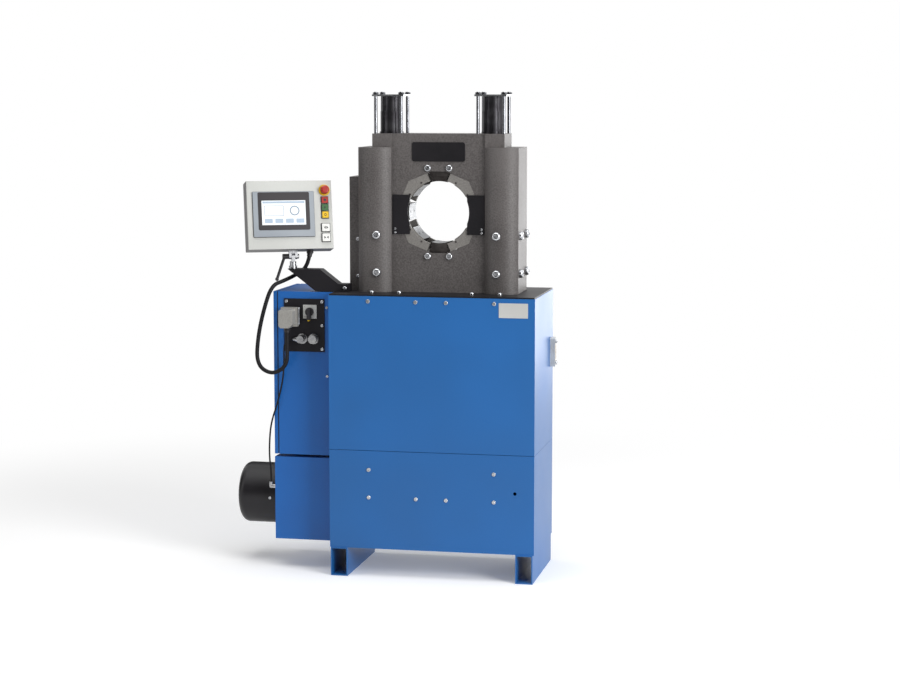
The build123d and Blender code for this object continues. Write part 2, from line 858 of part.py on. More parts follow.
flank_bolt_spots = [(x, bore_height + z) for x in (-flank_bolt_x, flank_bolt_x)
                    for z in (-flank_bolt_offset, flank_bolt_offset)]


def head_plate(y0, y1):
    plate = block(-column_inner_x, column_inner_x, y0, y1, head_base, head_top)
    plate -= plate_window(octagon_apothem + yoke_clearance + 0.2, window_half, y0 - 1, y1 + 1)
    return plate


def head_front_plate():
    plate = head_plate(-head_y, -middle_y)
    for x, z in flank_bolt_spots:
        plate -= rod_y(x, -head_y - 1, -head_y + 14, z, flank_bolt_radius / 2 + cover_fit)
    for side in (-1, 1):
        for z in guard_screw_heights:
            plate -= rod_y(side * guard_screw_x, -head_y - 1, -head_y + 10, z, guard_screw_radius / 2 + cover_fit)
    return plate


def head_rear_plate():
    return head_plate(middle_y, head_y)


def head_columns():
    """The two solid side columns; the yoke ends slide in a pocket inside each."""
    columns = []
    for side in (-1, 1):
        x0, x1 = sorted((side * column_inner_x, side * column_outer_x))
        column = block(x0, x1, -head_y - column_proud, head_y, head_base, head_top)
        p0, p1 = sorted((side * (column_inner_x - 1), side * (yoke_half_width + 4)))
        column -= block(p0, p1, -middle_y, middle_y, head_base + lower_bar_height,
                        head_top - upper_bar_height)
        column -= rod_z(side * cap_x, 0, head_base - 1, head_top + 1, piston_rod_radius + piston_fit)
        columns.append(column)
    return group(columns)


def head_crossbars():
    """Upper and lower filler bars between the two plates."""
    low = block(-column_inner_x, column_inner_x, -middle_y, middle_y, head_base,
                head_base + lower_bar_height)
    high = block(-column_inner_x, column_inner_x, -middle_y, middle_y,
                 head_top - upper_bar_height, head_top)
    return group([low, high])


slide_y = middle_y - yoke_clearance            # half length of what slides between the plates
face_y = head_y - cheek_thickness - yoke_clearance    # half length of dies and carriers
eighth_cos = math.cos(math.radians(22.5))
eighth_sin = math.sin(math.radians(22.5))
bearing_apothem = octagon_apothem + yoke_clearance
# x + z along the 45 degree faces between a yoke and a side block. The block's tip starts
# a closing stroke away from the end of the yoke's notch, and reaches it as the dies close.
tip_distance = closing_stroke + 2 * yoke_clearance
contact_sum = ((2 * bearing_apothem - (eighth_cos - eighth_sin) * tip_distance)
               / (eighth_cos + eighth_sin))


def neck_outline(outer):
    """The trapezoid that carries an upright die, drawn for the upper yoke."""
    root = bore_radius + die_thickness
    return [at_bore(-neck_half_width + 5, root), at_bore(neck_half_width - 5, root),
            at_bore(neck_half_width, outer), at_bore(-neck_half_width, outer)]


def press_yoke(reach):
    """A yoke drawn for the upper place; reach is from the bore axis to its far edge."""
    corner = bearing_apothem / eighth_cos
    line_sum = contact_sum + yoke_clearance * math.sqrt(2)
    meet_x = (bearing_apothem - eighth_sin * line_sum) / (eighth_cos - eighth_sin)
    meet_z = line_sum - meet_x
    notch = corner * math.cos(math.radians(45))
    leg_z = line_sum - side_block_half
    right = [(yoke_half_width, reach), (yoke_half_width, leg_z), (side_block_half, leg_z),
             (meet_x, meet_z), (notch, notch)]
    outline = right + [(0, corner)] + mirrored(right)
    yoke = prism_y([at_bore(x, z) for x, z in outline], -slide_y, slide_y)
    yoke += prism_y(neck_outline(octagon_corner + 8), -slide_y, slide_y)
    front_neck = prism_y(neck_outline(window_half - yoke_clearance), -face_y, face_y)
    front_neck &= plate_window(octagon_apothem, window_half - yoke_clearance, -face_y - 1, face_y + 1)
    return yoke + front_neck


def spun(shape, degrees):
    """Turned about the bore axis, anticlockwise as the operator sees it."""
    return shape.rotate(Axis((0, 0, bore_height), (0, -1, 0)), degrees)


def side_block():
    """Right-hand block; the yokes' 45 degree faces push it towards the bore."""
    corner = bearing_apothem / eighth_cos
    meet_x = (bearing_apothem - eighth_sin * contact_sum) / (eighth_cos - eighth_sin)
    meet_z = contact_sum - meet_x
    half = side_block_half
    outline = [(meet_x, meet_z), (half, contact_sum - half), (half, half - contact_sum),
               (meet_x, -meet_z), (corner, 0)]
    body = prism_y([at_bore(x, z) for x, z in outline], -slide_y, slide_y)
    root = bore_radius + die_thickness
    neck = [(root, -neck_half_width + 5), (corner + 5, -neck_half_width),
            (corner + 5, neck_half_width), (root, neck_half_width - 5)]
    body += prism_y([at_bore(x, z) for x, z in neck], -slide_y, slide_y)
    front = prism_y([at_bore(x, z) for x, z in neck], -face_y, face_y)
    front &= plate_window(octagon_apothem, window_half - yoke_clearance, -face_y - 1, face_y + 1)
    return body + front


def master_die():
    """Die for the upper position: a steel shoe with a concave working face."""
    die = block(-die_half_width, die_half_width, -face_y, face_y,
                bore_height + bore_radius - 12, bore_height + bore_radius + die_thickness)
    die -= rod_y(0, -face_y - 1, face_y + 1, bore_height, bore_radius)
    for y in (-face_y / 2, face_y / 2):
        die -= rod_z(0, y, bore_height + bore_radius - 13, bore_height + bore_radius + 6,
                     die_bolt_radius + cover_fit)
    return die


def diagonal_carrier():
    """Carrier drawn for the upper position; both its outer faces slide on the yokes."""
    root = bore_radius + die_thickness
    shoulder = octagon_corner - carrier_half_width * math.tan(math.radians(22.5))
    outline = [(-carrier_half_width, root), (carrier_half_width, root),
               (carrier_half_width, shoulder), (0, octagon_corner), (-carrier_half_width, shoulder)]
    return prism_y([at_bore(x, z) for x, z in outline], -face_y, face_y)


def cheek(y0, y1):
    """Face plate of the upper right carrier."""
    high = (octagon_apothem - eighth_sin * cheek_side_outer) / eighth_cos
    corner = octagon_corner * math.cos(math.radians(45))
    outline = [(cheek_side_outer, high), (corner, corner), (high, cheek_side_outer),
               (bore_radius - 2, cheek_side_inner), (cheek_side_inner, bore_radius - 2)]
    plate = prism_y([at_bore(x, z) for x, z in reversed(outline)], y0, y1)
    return plate - rod_y(0, y0 - 1, y1 + 1, bore_height, bore_radius + cheek_bore_clear)


def carrier_cheeks(turn):
    """The front and the rear face plate of one diagonal carrier."""
    return group([spun(cheek(-head_y, -face_y), turn), spun(cheek(face_y, head_y), turn)])


guard_screw_x = 152.0
guard_screw_heights = (bore_height - 70.0, bore_height - 58.0)


def guard_plate(side):
    """Black guard over the side block and the ends of two cheeks."""
    front = -head_y - guard_gap - guard_thickness
    x0, x1 = sorted((side * guard_inner_x, side * guard_outer_x))
    low = bore_height + guard_low
    high = bore_height + guard_high
    plate = block(x0, x1, front, -head_y - guard_gap, low, high)
    p0, p1 = sorted((side * (window_half + 3), side * guard_outer_x))
    plate += block(p0, p1, -head_y - guard_gap, -head_y, low, high)
    plate -= rod_y(0, front - 1, -head_y + 1, bore_height, bore_radius + 1)
    for z in guard_screw_heights:
        plate -= rod_y(side * guard_screw_x, front - 1, -head_y + 1, z, guard_screw_radius / 2 + cover_fit)
    return plate


def guard_screws():
    screw = button_screw(guard_screw_radius, 2.5, guard_screw_radius / 2, guard_thickness + guard_gap + 8)
    front = -head_y - guard_gap - guard_thickness
    return group(facing_front(side * guard_screw_x, front, z) * screw
                 for side in (-1, 1) for z in guard_screw_heights)


def flank_bolts():
    bolt = button_screw(flank_bolt_radius, flank_bolt_height, flank_bolt_radius / 2, 13)
    return group(facing_front(x, -head_y, z) * bolt for x, z in flank_bolt_spots)


def badge_plate():
    plate = block(-badge_width / 2, badge_width / 2, -head_y - badge_thickness, -head_y,
                  badge_z - badge_height / 2, badge_z + badge_height / 2)
    return fillet(plate.edges().filter_by(Axis.Y), 8)


cover_outer_x = cover_inner_x + cover_chord
cover_centre_x = cover_inner_x + cover_chord / 2
cover_centre_y = cover_front + cover_arc_radius
cover_top = head_base + cover_height
cover_sagitta = cover_arc_radius - math.sqrt(cover_arc_radius ** 2 - (cover_chord / 2) ** 2)
cover_spring_y = cover_front + cover_sagitta
cover_bolt_heights = (cover_bolt_low_z, cover_bolt_high_z)


def cover_body(inset, z0, z1):
    """Round-nosed upright block; the cover is the difference of two of these."""
    x0 = cover_inner_x + inset
    x1 = cover_outer_x - inset
    body = block(x0, x1, cover_spring_y, cover_back - inset, z0, z1)
    nose = rod_z(cover_centre_x, cover_centre_y, z0, z1, cover_arc_radius - inset)
    return body + (nose & block(x0, x1, cover_front - 1, cover_spring_y + 1, z0, z1))


def column_cover(side):
    cover = cover_body(0, head_base, cover_top) - cover_body(cover_sheet, head_base - 1, cover_top - cover_sheet)
    cover -= block(cover_inner_x - 1, column_outer_x + 0.5, -head_y - column_proud - 0.5, head_y + 0.5,
                   head_base - 1, cover_top + 1)
    for z in cover_bolt_heights:
        cover -= rod_y(cover_bolt_x, cover_front - 1, -head_y, z, cover_bolt_radius / 2 + cover_fit)
        if side > 0:
            for y in (side_bolt_front_y, side_bolt_back_y):
                cover -= rod_x(cover_outer_x - cover_sheet - 1, cover_outer_x + 1, y, z,
                               cover_bolt_radius / 2 + cover_fit)
    return cover if side > 0 else cover.mirror(Plane.YZ)


def cover_bolts():
    reach = -head_y - column_proud - cover_front
    front_bolt = button_screw(cover_bolt_radius, cover_bolt_height, cover_bolt_radius / 2, reach - 0.2)
    side_bolt = button_screw(cover_bolt_radius, cover_bolt_height, cover_bolt_radius / 2, cover_sheet + 12)
    bolts = [facing_front(side * cover_bolt_x, cover_front, z) * front_bolt
             for side in (-1, 1) for z in cover_bolt_heights]
    bolts += [facing_right(cover_outer_x, y, z) * side_bolt
              for y in (side_bolt_front_y, side_bolt_back_y) for z in cover_bolt_heights]
    return group(bolts)


side_box_outer = -cover_outer_x - side_box_width
side_box_screw_x = -cover_outer_x - side_box_width / 3


def side_box():
    """Slim sheet box on the left column cover for the position sensor."""
    box = block(side_box_outer, -cover_outer_x, side_box_front, side_box_back,
                head_base, head_base + side_box_height)
    box -= block(side_box_outer + 2, -cover_outer_x - 2, side_box_front + 2, side_box_back - 2,
                 head_base + 2, head_base + side_box_height - 2)
    for z in cover_bolt_heights:
        box -= rod_y(side_box_screw_x, side_box_front - 1, side_box_front + 3, z - 20,
                     cover_screw_shank + cover_fit)
    return box


def side_box_screws():
    screw = button_screw(side_box_screw_radius, 6.0, cover_screw_shank, 6)
    return group(facing_front(side_box_screw_x, side_box_front, z - 20) * screw
                 for z in cover_bolt_heights)


def base_bolts():
    """Bolt heads that hold the head down on the cabinet frame."""
    bolt = button_screw(8.0, 8.0, 0, 0)
    return group(Pos(x, -118.0, head_base) * bolt for x in (-225.0, -128.0, 128.0, 225.0))


# ================================================================ press cylinders
barrel_bore = barrel_radius - barrel_wall
barrel_split_z = head_top + barrel_split
cap_plate_z = head_top + cap_height
upper_piston_z = head_top + closing_stroke + 20
lower_barrel_z = cabinet_top - lower_barrel_length
lower_piston_z = lower_barrel_z + 24


def upper_barrels():
    """Two black cylinder bodies, each a tube below and a closed head above."""
    tubes = []
    heads = []
    for side in (-1, 1):
        x = side * cap_x
        tube = rod_z(x, 0, head_top, barrel_split_z, barrel_radius)
        tube += rod_z(x, 0, head_top, head_top + 6, barrel_radius + barrel_rim)
        tube -= rod_z(x, 0, head_top - 1, barrel_split_z + 1, barrel_bore)
        head = rod_z(x, 0, barrel_split_z, cap_plate_z, barrel_radius - barrel_rim)
        head += rod_z(x, 0, barrel_split_z, barrel_split_z + 4, barrel_radius)
        head -= rod_z(x, 0, barrel_split_z - 1, barrel_split_z + 30, barrel_bore)
        tubes.append(tube)
        heads.append(head)
    return group(tubes), group(heads)


def piston_pair(z, rod_low, rod_high):
    """Two pistons on their rods."""
    parts = []
    for side in (-1, 1):
        x = side * cap_x
        piston = rod_z(x, 0, z, z + piston_thickness, barrel_bore - piston_fit)
        piston += rod_z(x, 0, rod_low, rod_high, piston_rod_radius)
        parts.append(piston)
    return group(parts)


def lower_barrels():
    barrels = []
    for side in (-1, 1):
        x = side * cap_x
        barrel = rod_z(x, 0, lower_barrel_z, cabinet_top, lower_barrel_radius)
        barrel -= rod_z(x, 0, lower_barrel_z + 12, cabinet_top + 1, barrel_bore)
        barrels.append(barrel)
    return group(barrels)


tie_spots = [(side * cap_x + i * tie_rod_spacing_x / 2, j * tie_rod_spacing_y / 2)
             for side in (-1, 1) for i in (-1, 1) for j in (-1, 1)]


def tie_rods():
    return group(rod_z(x, y, head_top, cap_plate_z + cap_plate_thickness + 9, tie_rod_radius)
                 for x, y in tie_spots)


def tie_nuts():
    nuts = []
    z = cap_plate_z + cap_plate_thickness
    for x, y in tie_spots:
        nut = Pos(x, y, z) * extrude(RegularPolygon(tie_rod_radius + 4.5, 6), amount=7)
        nuts.append(nut - rod_z(x, y, z - 1, z + 8, tie_rod_radius))
    return group(nuts)


def cap_plates():
    plates = []
    for side in (-1, 1):
        x = side * cap_x
        plate = block(x - cap_plate_x / 2, x + cap_plate_x / 2, -cap_plate_y / 2, cap_plate_y / 2,
                      cap_plate_z, cap_plate_z + cap_plate_thickness)
        for tx, ty in tie_spots:
            plate -= rod_z(tx, ty, cap_plate_z - 1, cap_plate_z + cap_plate_thickness + 1, tie_rod_radius)
        plates.append(plate)
    return group(plates)


# ================================================================ operator panel
turned = Pos(pivot_x, pivot_y, pivot_z) * Rot(0, 0, panel_turn)
tilted = turned * Rot(-panel_tilt, 0, 0)
panel_left = panel_shift_x - panel_width / 2
panel_top = panel_lift + panel_height
panel_back_y = panel_front_y + panel_depth


def panel_spot(x_from_left, drop):
    """A point of the panel's face, from its top left corner."""
    return panel_left + x_from_left, panel_top - drop


def face_block(x_from_left, drop, width, height, y0, y1):
    x, z = panel_spot(x_from_left, drop)
    return block(x, x + width, y0, y1, z - height, z)


button_list = [("stop_push_button", button_x, small_button_drops[0], small_button_size),
               ("start_push_button", button_x, small_button_drops[1], small_button_size),
               ("mode_push_button", button_x, small_button_drops[2], small_button_size),
               ("open_push_button", button_x, large_button_drops[0], large_button_size),
               ("close_push_button", button_x, large_button_drops[1], large_button_size)]
stem_radius = 5.0


def panel_enclosure():
    shell = block(panel_left, panel_left + panel_width, panel_front_y, panel_back_y, panel_lift, panel_top)
    shell = fillet(shell.edges().filter_by(Axis.Z), 3)
    shell -= block(panel_left + panel_wall, panel_left + panel_width - panel_wall,
                   panel_front_y + panel_wall, panel_back_y - panel_wall,
                   panel_lift + panel_wall, panel_top - panel_wall)
    shell -= face_block(hmi_left + 8, hmi_drop + 8, hmi_width - 16, hmi_height - 16,
                        panel_front_y - 1, panel_front_y + panel_wall + 1)
    for name, x, drop, size in button_list:
        sx, sz = panel_spot(x, drop)
        shell -= rod_y(sx, panel_front_y - 1, panel_front_y + panel_wall + 1, sz, stem_radius + button_fit)
    sx, sz = panel_spot(button_x, estop_drop)
    shell -= rod_y(sx, panel_front_y - 1, panel_front_y + panel_wall + 1, sz,
                   estop_stem_radius + button_fit)
    return tilted * shell


hmi_front_y = panel_front_y - hmi_frame_depth


def hmi_frame():
    frame = face_block(hmi_left, hmi_drop, hmi_width, hmi_height, hmi_front_y, panel_front_y)
    frame -= face_block(hmi_left + bezel_inset_left, hmi_drop + bezel_drop, bezel_width, bezel_height,
                        hmi_front_y - 1, hmi_front_y + bezel_depth)
    return tilted * frame


def hmi_bezel():
    bezel = face_block(hmi_left + bezel_inset_left, hmi_drop + bezel_drop, bezel_width, bezel_height,
                       hmi_front_y, hmi_front_y + bezel_depth)
    bezel -= face_block(hmi_left + bezel_inset_left + screen_left, hmi_drop + bezel_drop + screen_drop,
                        screen_width, screen_height, hmi_front_y - 1, hmi_front_y + screen_depth)
    return tilted * bezel


def hmi_screen():
    return tilted * face_block(hmi_left + bezel_inset_left + screen_left,
                               hmi_drop + bezel_drop + screen_drop, screen_width, screen_height,
                               hmi_front_y, hmi_front_y + screen_depth)


def estop_collar():
    x, z = panel_spot(button_x, estop_drop)
    collar = rod_y(x, panel_front_y - 3, panel_front_y, z, estop_collar_radius)
    collar -= rod_y(x, panel_front_y - 4, panel_front_y + 1, z, estop_stem_radius + button_fit)
    return tilted * collar


def estop_button():
    x, z = panel_spot(button_x, estop_drop)
    rear = panel_front_y - 3 - estop_travel - 1
    head = rod_y(x, rear - estop_depth, rear, z, estop_radius)
    head = fillet(head.edges().sort_by(Axis.Y)[0], 6)
    head += rod_y(x, rear - 1, panel_front_y + 14, z, estop_stem_radius)
    return tilted * head


def square_collars():
    """Fixed frames around the square push buttons."""
    collars = []
    for name, x, drop, size in button_list:
        rim = size / 2 + button_rim
        sx, sz = panel_spot(x, drop)
        collar = block(sx - rim, sx + rim, panel_front_y - 1.5, panel_front_y, sz - rim, sz + rim)
        inner = size / 2 + button_fit
        collar -= block(sx - inner, sx + inner, panel_front_y - 2, panel_front_y + 1, sz - inner, sz + inner)
        collars.append(collar)
    return collars


def square_button(x_from_left, drop, size):
    x, z = panel_spot(x_from_left, drop)
    half = size / 2
    rear = panel_front_y - button_travel - 0.5
    cap = block(x - half, x + half, rear - button_depth, rear, z - half, z + half)
    cap = fillet(cap.edges().filter_by(Axis.Y), 2)
    cap += rod_y(x, rear - 1, panel_front_y + 12, z, stem_radius)
    return tilted * cap


def panel_fork():
    """Bracket under the panel that straddles the lug of the post."""
    inner = lug_thickness / 2 + fork_gap
    outer = inner + fork_cheek
    fork = block(-outer, outer, -10, 10, 12, panel_lift)
    for side in (-1, 1):
        x0, x1 = sorted((side * inner, side * outer))
        fork += block(x0, x1, -10, 10, 0, 13)
        fork += rod_x(x0, x1, 0, 0, 10)
    fork -= rod_x(-outer - 1, outer + 1, 0, 0, pivot_pin_radius)
    return tilted * fork


def panel_post():
    """Silver post on the arm with the lug the panel tilts on."""
    half = lug_thickness / 2
    lug = rod_x(-half, half, 0, 0, 10) + block(-half, half, -10, 10, -19, 0)
    lug -= rod_x(-half - 1, half + 1, 0, 0, pivot_pin_radius + pivot_fit)
    low = arm_top - pivot_z
    lug += rod_z(0, 0, low, -18, post_radius)
    lug += rod_z(0, 0, low, low + 8, post_radius + 3)
    return turned * lug


def pivot_pin():
    outer = lug_thickness / 2 + fork_gap + fork_cheek
    pin = rod_x(-outer - lever_hub_length + 6, outer + 5, 0, 0, pivot_pin_radius)
    pin += rod_x(outer, outer + 6, 0, 0, pivot_pin_radius + 3)
    return tilted * pin


def clamp_lever():
    """Black clamping lever on the end of the tilt pin."""
    outer = lug_thickness / 2 + fork_gap + fork_cheek
    x1 = -outer - 0.4
    x0 = x1 - lever_hub_length
    lever = rod_x(x0, x1, 0, 0, lever_hub_radius)
    lever -= rod_x(x0 + 5, x1 + 1, 0, 0, pivot_pin_radius + pivot_fit)
    start = Vector(x0 + 4, -4, -lever_hub_radius + 3)
    end = Vector(x0 - 22, -10, -lever_length)
    axis = end - start
    handle = Plane(origin=(start + end) * 0.5, z_dir=axis) * Cylinder(lever_radius, axis.length)
    lever += handle
    lever += Pos(end.X, end.Y, end.Z) * Sphere(lever_radius + 1.5)
    return turned * lever


arm_top = head_base + arm_height
arm_back_y = arm_front_y + arm_depth
slope = arm_lean / arm_height


def arm_outline(inset):
    """Front view of the leaning arm, moved in by the sheet thickness."""
    z0 = head_base + inset
    z1 = arm_top - inset
    side_inset = inset / math.sin(math.atan2(arm_height, arm_lean))
    left0 = arm_foot_x - (z0 - head_base) * slope + side_inset
    left1 = arm_foot_x - (z1 - head_base) * slope + side_inset
    return [(left0, z0), (left0 + arm_width - 2 * side_inset, z0),
            (left1 + arm_width - 2 * side_inset, z1), (left1, z1)]


arm_foot_right = arm_foot_x + arm_width


def panel_arm():
    """Folded black sheet arm, open at the back, with a square heel on the cabinet top."""
    arm = prism_y(arm_outline(0), arm_front_y, arm_back_y)
    heel = block(arm_foot_right - arm_flange_length, arm_foot_right, arm_front_y, arm_back_y,
                 head_base, head_base + arm_heel_height)
    arm += heel
    arm -= prism_y(arm_outline(arm_sheet), arm_front_y + arm_sheet, arm_back_y + 1)
    arm -= rod_y(arm_bolt_x, arm_front_y - 1, arm_front_y + arm_sheet + 12, arm_bolt_z,
                 cover_screw_shank + cover_fit)
    return arm


arm_heel_height = 27.0
arm_bolt_x = arm_foot_right - 12.0
arm_bolt_z = head_base + 13.0


def arm_bolt():
    return facing_front(arm_bolt_x, arm_front_y, arm_bolt_z) * button_screw(7, 5, cover_screw_shank, 10)


gland_frame = tilted * Pos(panel_gland_x, panel_gland_y, panel_lift - 6) * Rot(0, panel_gland_lean, 0)


def panel_gland():
    """Cable gland under the panel, leaning the way the cord leaves."""
    gland = gland_frame * rod_z(0, 0, -14, 0, 9)
    gland += gland_frame * Pos(0, 0, -4) * extrude(RegularPolygon(10, 6), amount=4)
    seat = tilted * rod_z(panel_gland_x, panel_gland_y, panel_lift - 8, panel_lift, 12)
    return gland + seat


# ================================================================ cords
sensor_gland_x = housing_left - 18.0
sensor_gland_y = -104.0
sensor_gland_z = 305.0


def sensor_gland():
    """Elbow gland on the pump housing where the sensor cord goes in."""
    gland = rod_x(sensor_gland_x, housing_left, sensor_gland_y, sensor_gland_z - 16, 7)
    gland += rod_z(sensor_gland_x, sensor_gland_y, sensor_gland_z - 16, sensor_gland_z, 7)
    gland += Pos(sensor_gland_x, sensor_gland_y, sensor_gland_z - 16) * Sphere(7)
    return gland


panel_exit = (gland_frame * Pos(0, 0, -14)).position
panel_exit_next = (gland_frame * Pos(0, 0, -14 - 40)).position
panel_route = [tuple(panel_exit), tuple(panel_exit_next),
               (-516.0, -48.0, 1036.0),
               (-549.0, -86.0, 1018.0),
               (-583.0, -122.0, 1004.0),
               (-606.0, -138.0, 930.0),
               (-628.0, -145.0, 830.0),
               (-634.0, -150.0, 727.0),
               (-575.5, -157.0, 693.0),
               (connector_x - 2, gland_y, 727.0),
               (connector_x, gland_y, gland_end_z - 55),
               (connector_x, gland_y, gland_end_z)]
sensor_route = [(plug_end_x, plug_y, round_socket_z),
                (plug_end_x - 17, plug_y, round_socket_z),
                (-533.0, -142.0, 803.0),
                (-537.0, -139.0, 774.0),
                (-538.0, -132.0, 735.0),
                (-546.0, -126.0, 665.0),
                (-566.0, -124.0, 590.0),
                (-590.0, -124.0, 520.0),
                (-597.0, -123.0, 455.0),
                (sensor_gland_x, -122.0, 395.0),
                (sensor_gland_x, sensor_gland_y, sensor_gland_z + 40),
                (sensor_gland_x, sensor_gland_y, sensor_gland_z)]


def cord(name, points, radius):
    """A round cord along straight runs joined by tangent arcs."""
    corners = [Vector(*p) for p in points]
    runs = [b - a for a, b in zip(corners, corners[1:])]
    radii = []
    for before, after in zip(runs, runs[1:]):
        half_turn = math.radians(before.get_angle(after) / 2)
        shorter = min(before.length, after.length)
        radii.append(min(0.45 * shorter / math.tan(half_turn), 400.0))
    path = FilletPolyline(*corners, radius=radii)
    section = Plane(origin=corners[0], z_dir=runs[0]) * Circle(radius)
    solid = sweep(section, path=path)
    print(name, "length", round(path.length, 1), "radii", [round(r) for r in radii])
    print(name, "volume over section times length",
          round(solid.volume / (math.pi * radius ** 2 * path.length), 4))
    return solid


# ================================================================ nodes
right_block = side_block()
upper = press_yoke(upper_yoke_reach)
lower = spun(press_yoke(lower_yoke_reach), 180)
top_die = master_die()
top_carrier = diagonal_carrier()
gauge_parts = level_gauge()
chassis_plate, chassis_units = electrical_chassis()
barrel_tubes, barrel_heads = upper_barrels()
collars = [tilted * collar for collar in square_collars()]


def all_solids(*shapes):
    """Every solid of several pieces, as one group."""
    return group(solid for shape in shapes for solid in shape.solids())


nodes = {
    "cabinet_feet": cabinet_feet(),
    "cabinet_shell": cabinet_shell(),
    "front_covers": group([front_cover(cabinet_bottom, seam_height - seam_gap / 2),
                           front_cover(seam_height + seam_gap / 2, cabinet_top)]),
    "cabinet_top_plate": cabinet_top_plate(),
    "sheet_metal_screws": all_solids(cover_screws(), plate_screws(), cowl_screws(), side_box_screws(),
                                     guard_screws(), arm_bolt()),
    "head_bolts": all_solids(flank_bolts(), cover_bolts(), base_bolts()),
    "blank_plates": all_solids(blank_plate(), badge_plate()),
    "oil_level_gauge": all_solids(*gauge_parts),
    "oil_tank": oil_tank(),
    "electrical_box": all_solids(electrical_box(), door_hinge_pins()),
    "door_seal": door_seal_ring(),
    "box_door": all_solids(box_door(), door_locks()),
    "electrical_chassis": all_solids(chassis_plate, chassis_units),
    "socket_plate": socket_plate(),
    "cable_connector": all_solids(connector_base(), connector_hood(), connector_gland()),
    "connector_latch": connector_latch(),
    "switch_plate": switch_plate(),
    "main_switch_knob": all_solids(switch_knob(), switch_pointer()),
    "round_sockets": all_solids(round_sockets(), socket_cap()),
    "sensor_plug": all_solids(sensor_plug(), sensor_gland()),
    "pump_housing": pump_housing(),
    "motor_cowl": motor_cowl(),
    "motor_stator": motor_stator() + motor_foot(),
    "motor_shaft": all_solids(motor_shaft(), motor_fan(), shaft_coupling()),
    "hydraulic_pump": all_solids(bell_housing(), hydraulic_pump()),
    "head_front_plate": head_front_plate(),
    "head_rear_plate": head_rear_plate(),
    "head_columns": all_solids(head_columns(), head_crossbars()),
    "guard_plates": group([guard_plate(-1), guard_plate(1)]),
    "column_covers": group([column_cover(-1), column_cover(1)]),
    "side_box": side_box(),
    "upper_cylinders": all_solids(barrel_tubes, barrel_heads),
    "lower_cylinders": lower_barrels(),
    "tie_rod_cages": all_solids(tie_rods(), tie_nuts(), cap_plates()),
    "upper_press_yoke": all_solids(upper, top_die),
    "upper_pistons": piston_pair(upper_piston_z, bore_height + upper_yoke_reach,
                                 upper_piston_z + piston_thickness),
    "lower_press_yoke": all_solids(lower, spun(top_die, 180)),
    "lower_pistons": piston_pair(lower_piston_z, lower_piston_z, bore_height - lower_yoke_reach),
    "right_slide": all_solids(right_block, spun(top_die, 270)),
    "left_slide": all_solids(spun(right_block, 180), spun(top_die, 90)),
    "panel_arm": panel_arm(),
    "panel_post": panel_post(),
    "panel_enclosure": panel_enclosure(),
    "hmi_frame": all_solids(hmi_frame(), hmi_bezel()),
    "hmi_screen": hmi_screen(),
    "button_collars": all_solids(estop_collar(), *collars),
    "emergency_stop": estop_button(),
    "panel_bracket": all_solids(panel_fork(), pivot_pin(), panel_gland()),
    "clamp_lever": clamp_lever(),
    "panel_cord": cord("panel_cord", panel_route, panel_cord_radius),
    "sensor_cord": cord("sensor_cord", sensor_route, sensor_cord_radius),
}
for name, x, drop, size in button_list:
    nodes[name] = square_button(x, drop, size)
diagonal_names = {0: "upper_right", 90: "upper_left", 180: "lower_left", 270: "lower_right"}
for turn, place in diagonal_names.items():
    nodes[place + "_slide"] = all_solids(spun(top_carrier, turn - 45), carrier_cheeks(turn),
                                         spun(top_die, turn - 45))

for name, shape in nodes.items():
    save(name, shape)
print(len(nodes), "nodes")
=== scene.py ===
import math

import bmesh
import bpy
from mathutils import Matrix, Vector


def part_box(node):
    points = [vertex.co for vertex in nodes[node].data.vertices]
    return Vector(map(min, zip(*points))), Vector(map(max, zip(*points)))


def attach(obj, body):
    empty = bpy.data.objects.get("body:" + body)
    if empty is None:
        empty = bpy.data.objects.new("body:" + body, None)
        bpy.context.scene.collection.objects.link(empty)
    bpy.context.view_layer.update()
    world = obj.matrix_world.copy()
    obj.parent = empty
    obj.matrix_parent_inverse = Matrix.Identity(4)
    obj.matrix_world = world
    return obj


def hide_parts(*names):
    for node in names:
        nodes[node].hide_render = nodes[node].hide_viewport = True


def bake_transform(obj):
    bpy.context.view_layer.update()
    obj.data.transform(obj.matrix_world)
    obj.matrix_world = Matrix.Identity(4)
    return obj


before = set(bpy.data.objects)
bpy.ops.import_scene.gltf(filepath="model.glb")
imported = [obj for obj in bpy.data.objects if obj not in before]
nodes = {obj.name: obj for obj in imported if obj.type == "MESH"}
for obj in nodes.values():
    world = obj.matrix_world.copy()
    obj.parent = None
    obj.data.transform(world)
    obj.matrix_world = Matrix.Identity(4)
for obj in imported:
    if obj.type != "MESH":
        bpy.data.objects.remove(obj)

# %% [markdown]
# # A hose crimping machine, dressed for its portrait
# The solids of the machine come in ready made and stay where they are. This file gives each of
# them a finish, adds the cords and the small things that a solid can't show, and sets up a
# plain studio. Lengths are in metres, Z is up, and the operator stands on the -Y side.

MM = 0.001
X, Y, Z = 0, 1, 2                       # axis numbers
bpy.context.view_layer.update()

# %% [markdown]
# ## Colours and shader nodes
# Colours are picked as sRGB hex values, because that is what a paint card or a screen shows.
# Shaders work in linear light, so one function converts them. A second function adds a shader
# node with its settings and its links; every material below is built with these two.

# %% Colour and node helpers
def colour(hex_value):
    """An sRGB hex string as linear red, green, blue and alpha."""
    channels = [int(hex_value[i:i + 2], 16) / 255 for i in (1, 3, 5)]
    linear = [c / 12.92 if c <= 0.04045 else ((c + 0.055) / 1.055) ** 2.4 for c in channels]
    return (*linear, 1.0)


def add(tree, kind, inputs=None, **settings):
    """Adds a shader node. An input is a value or the output socket that feeds it."""
    made = tree.nodes.new(kind)
    for name, value in settings.items():
        setattr(made, name, value)
    for name, value in (inputs or {}).items():
        socket = made.inputs[name]
        if isinstance(value, bpy.types.NodeSocket):
            tree.links.new(value, socket)
        else:
            socket.default_value = value
    return made


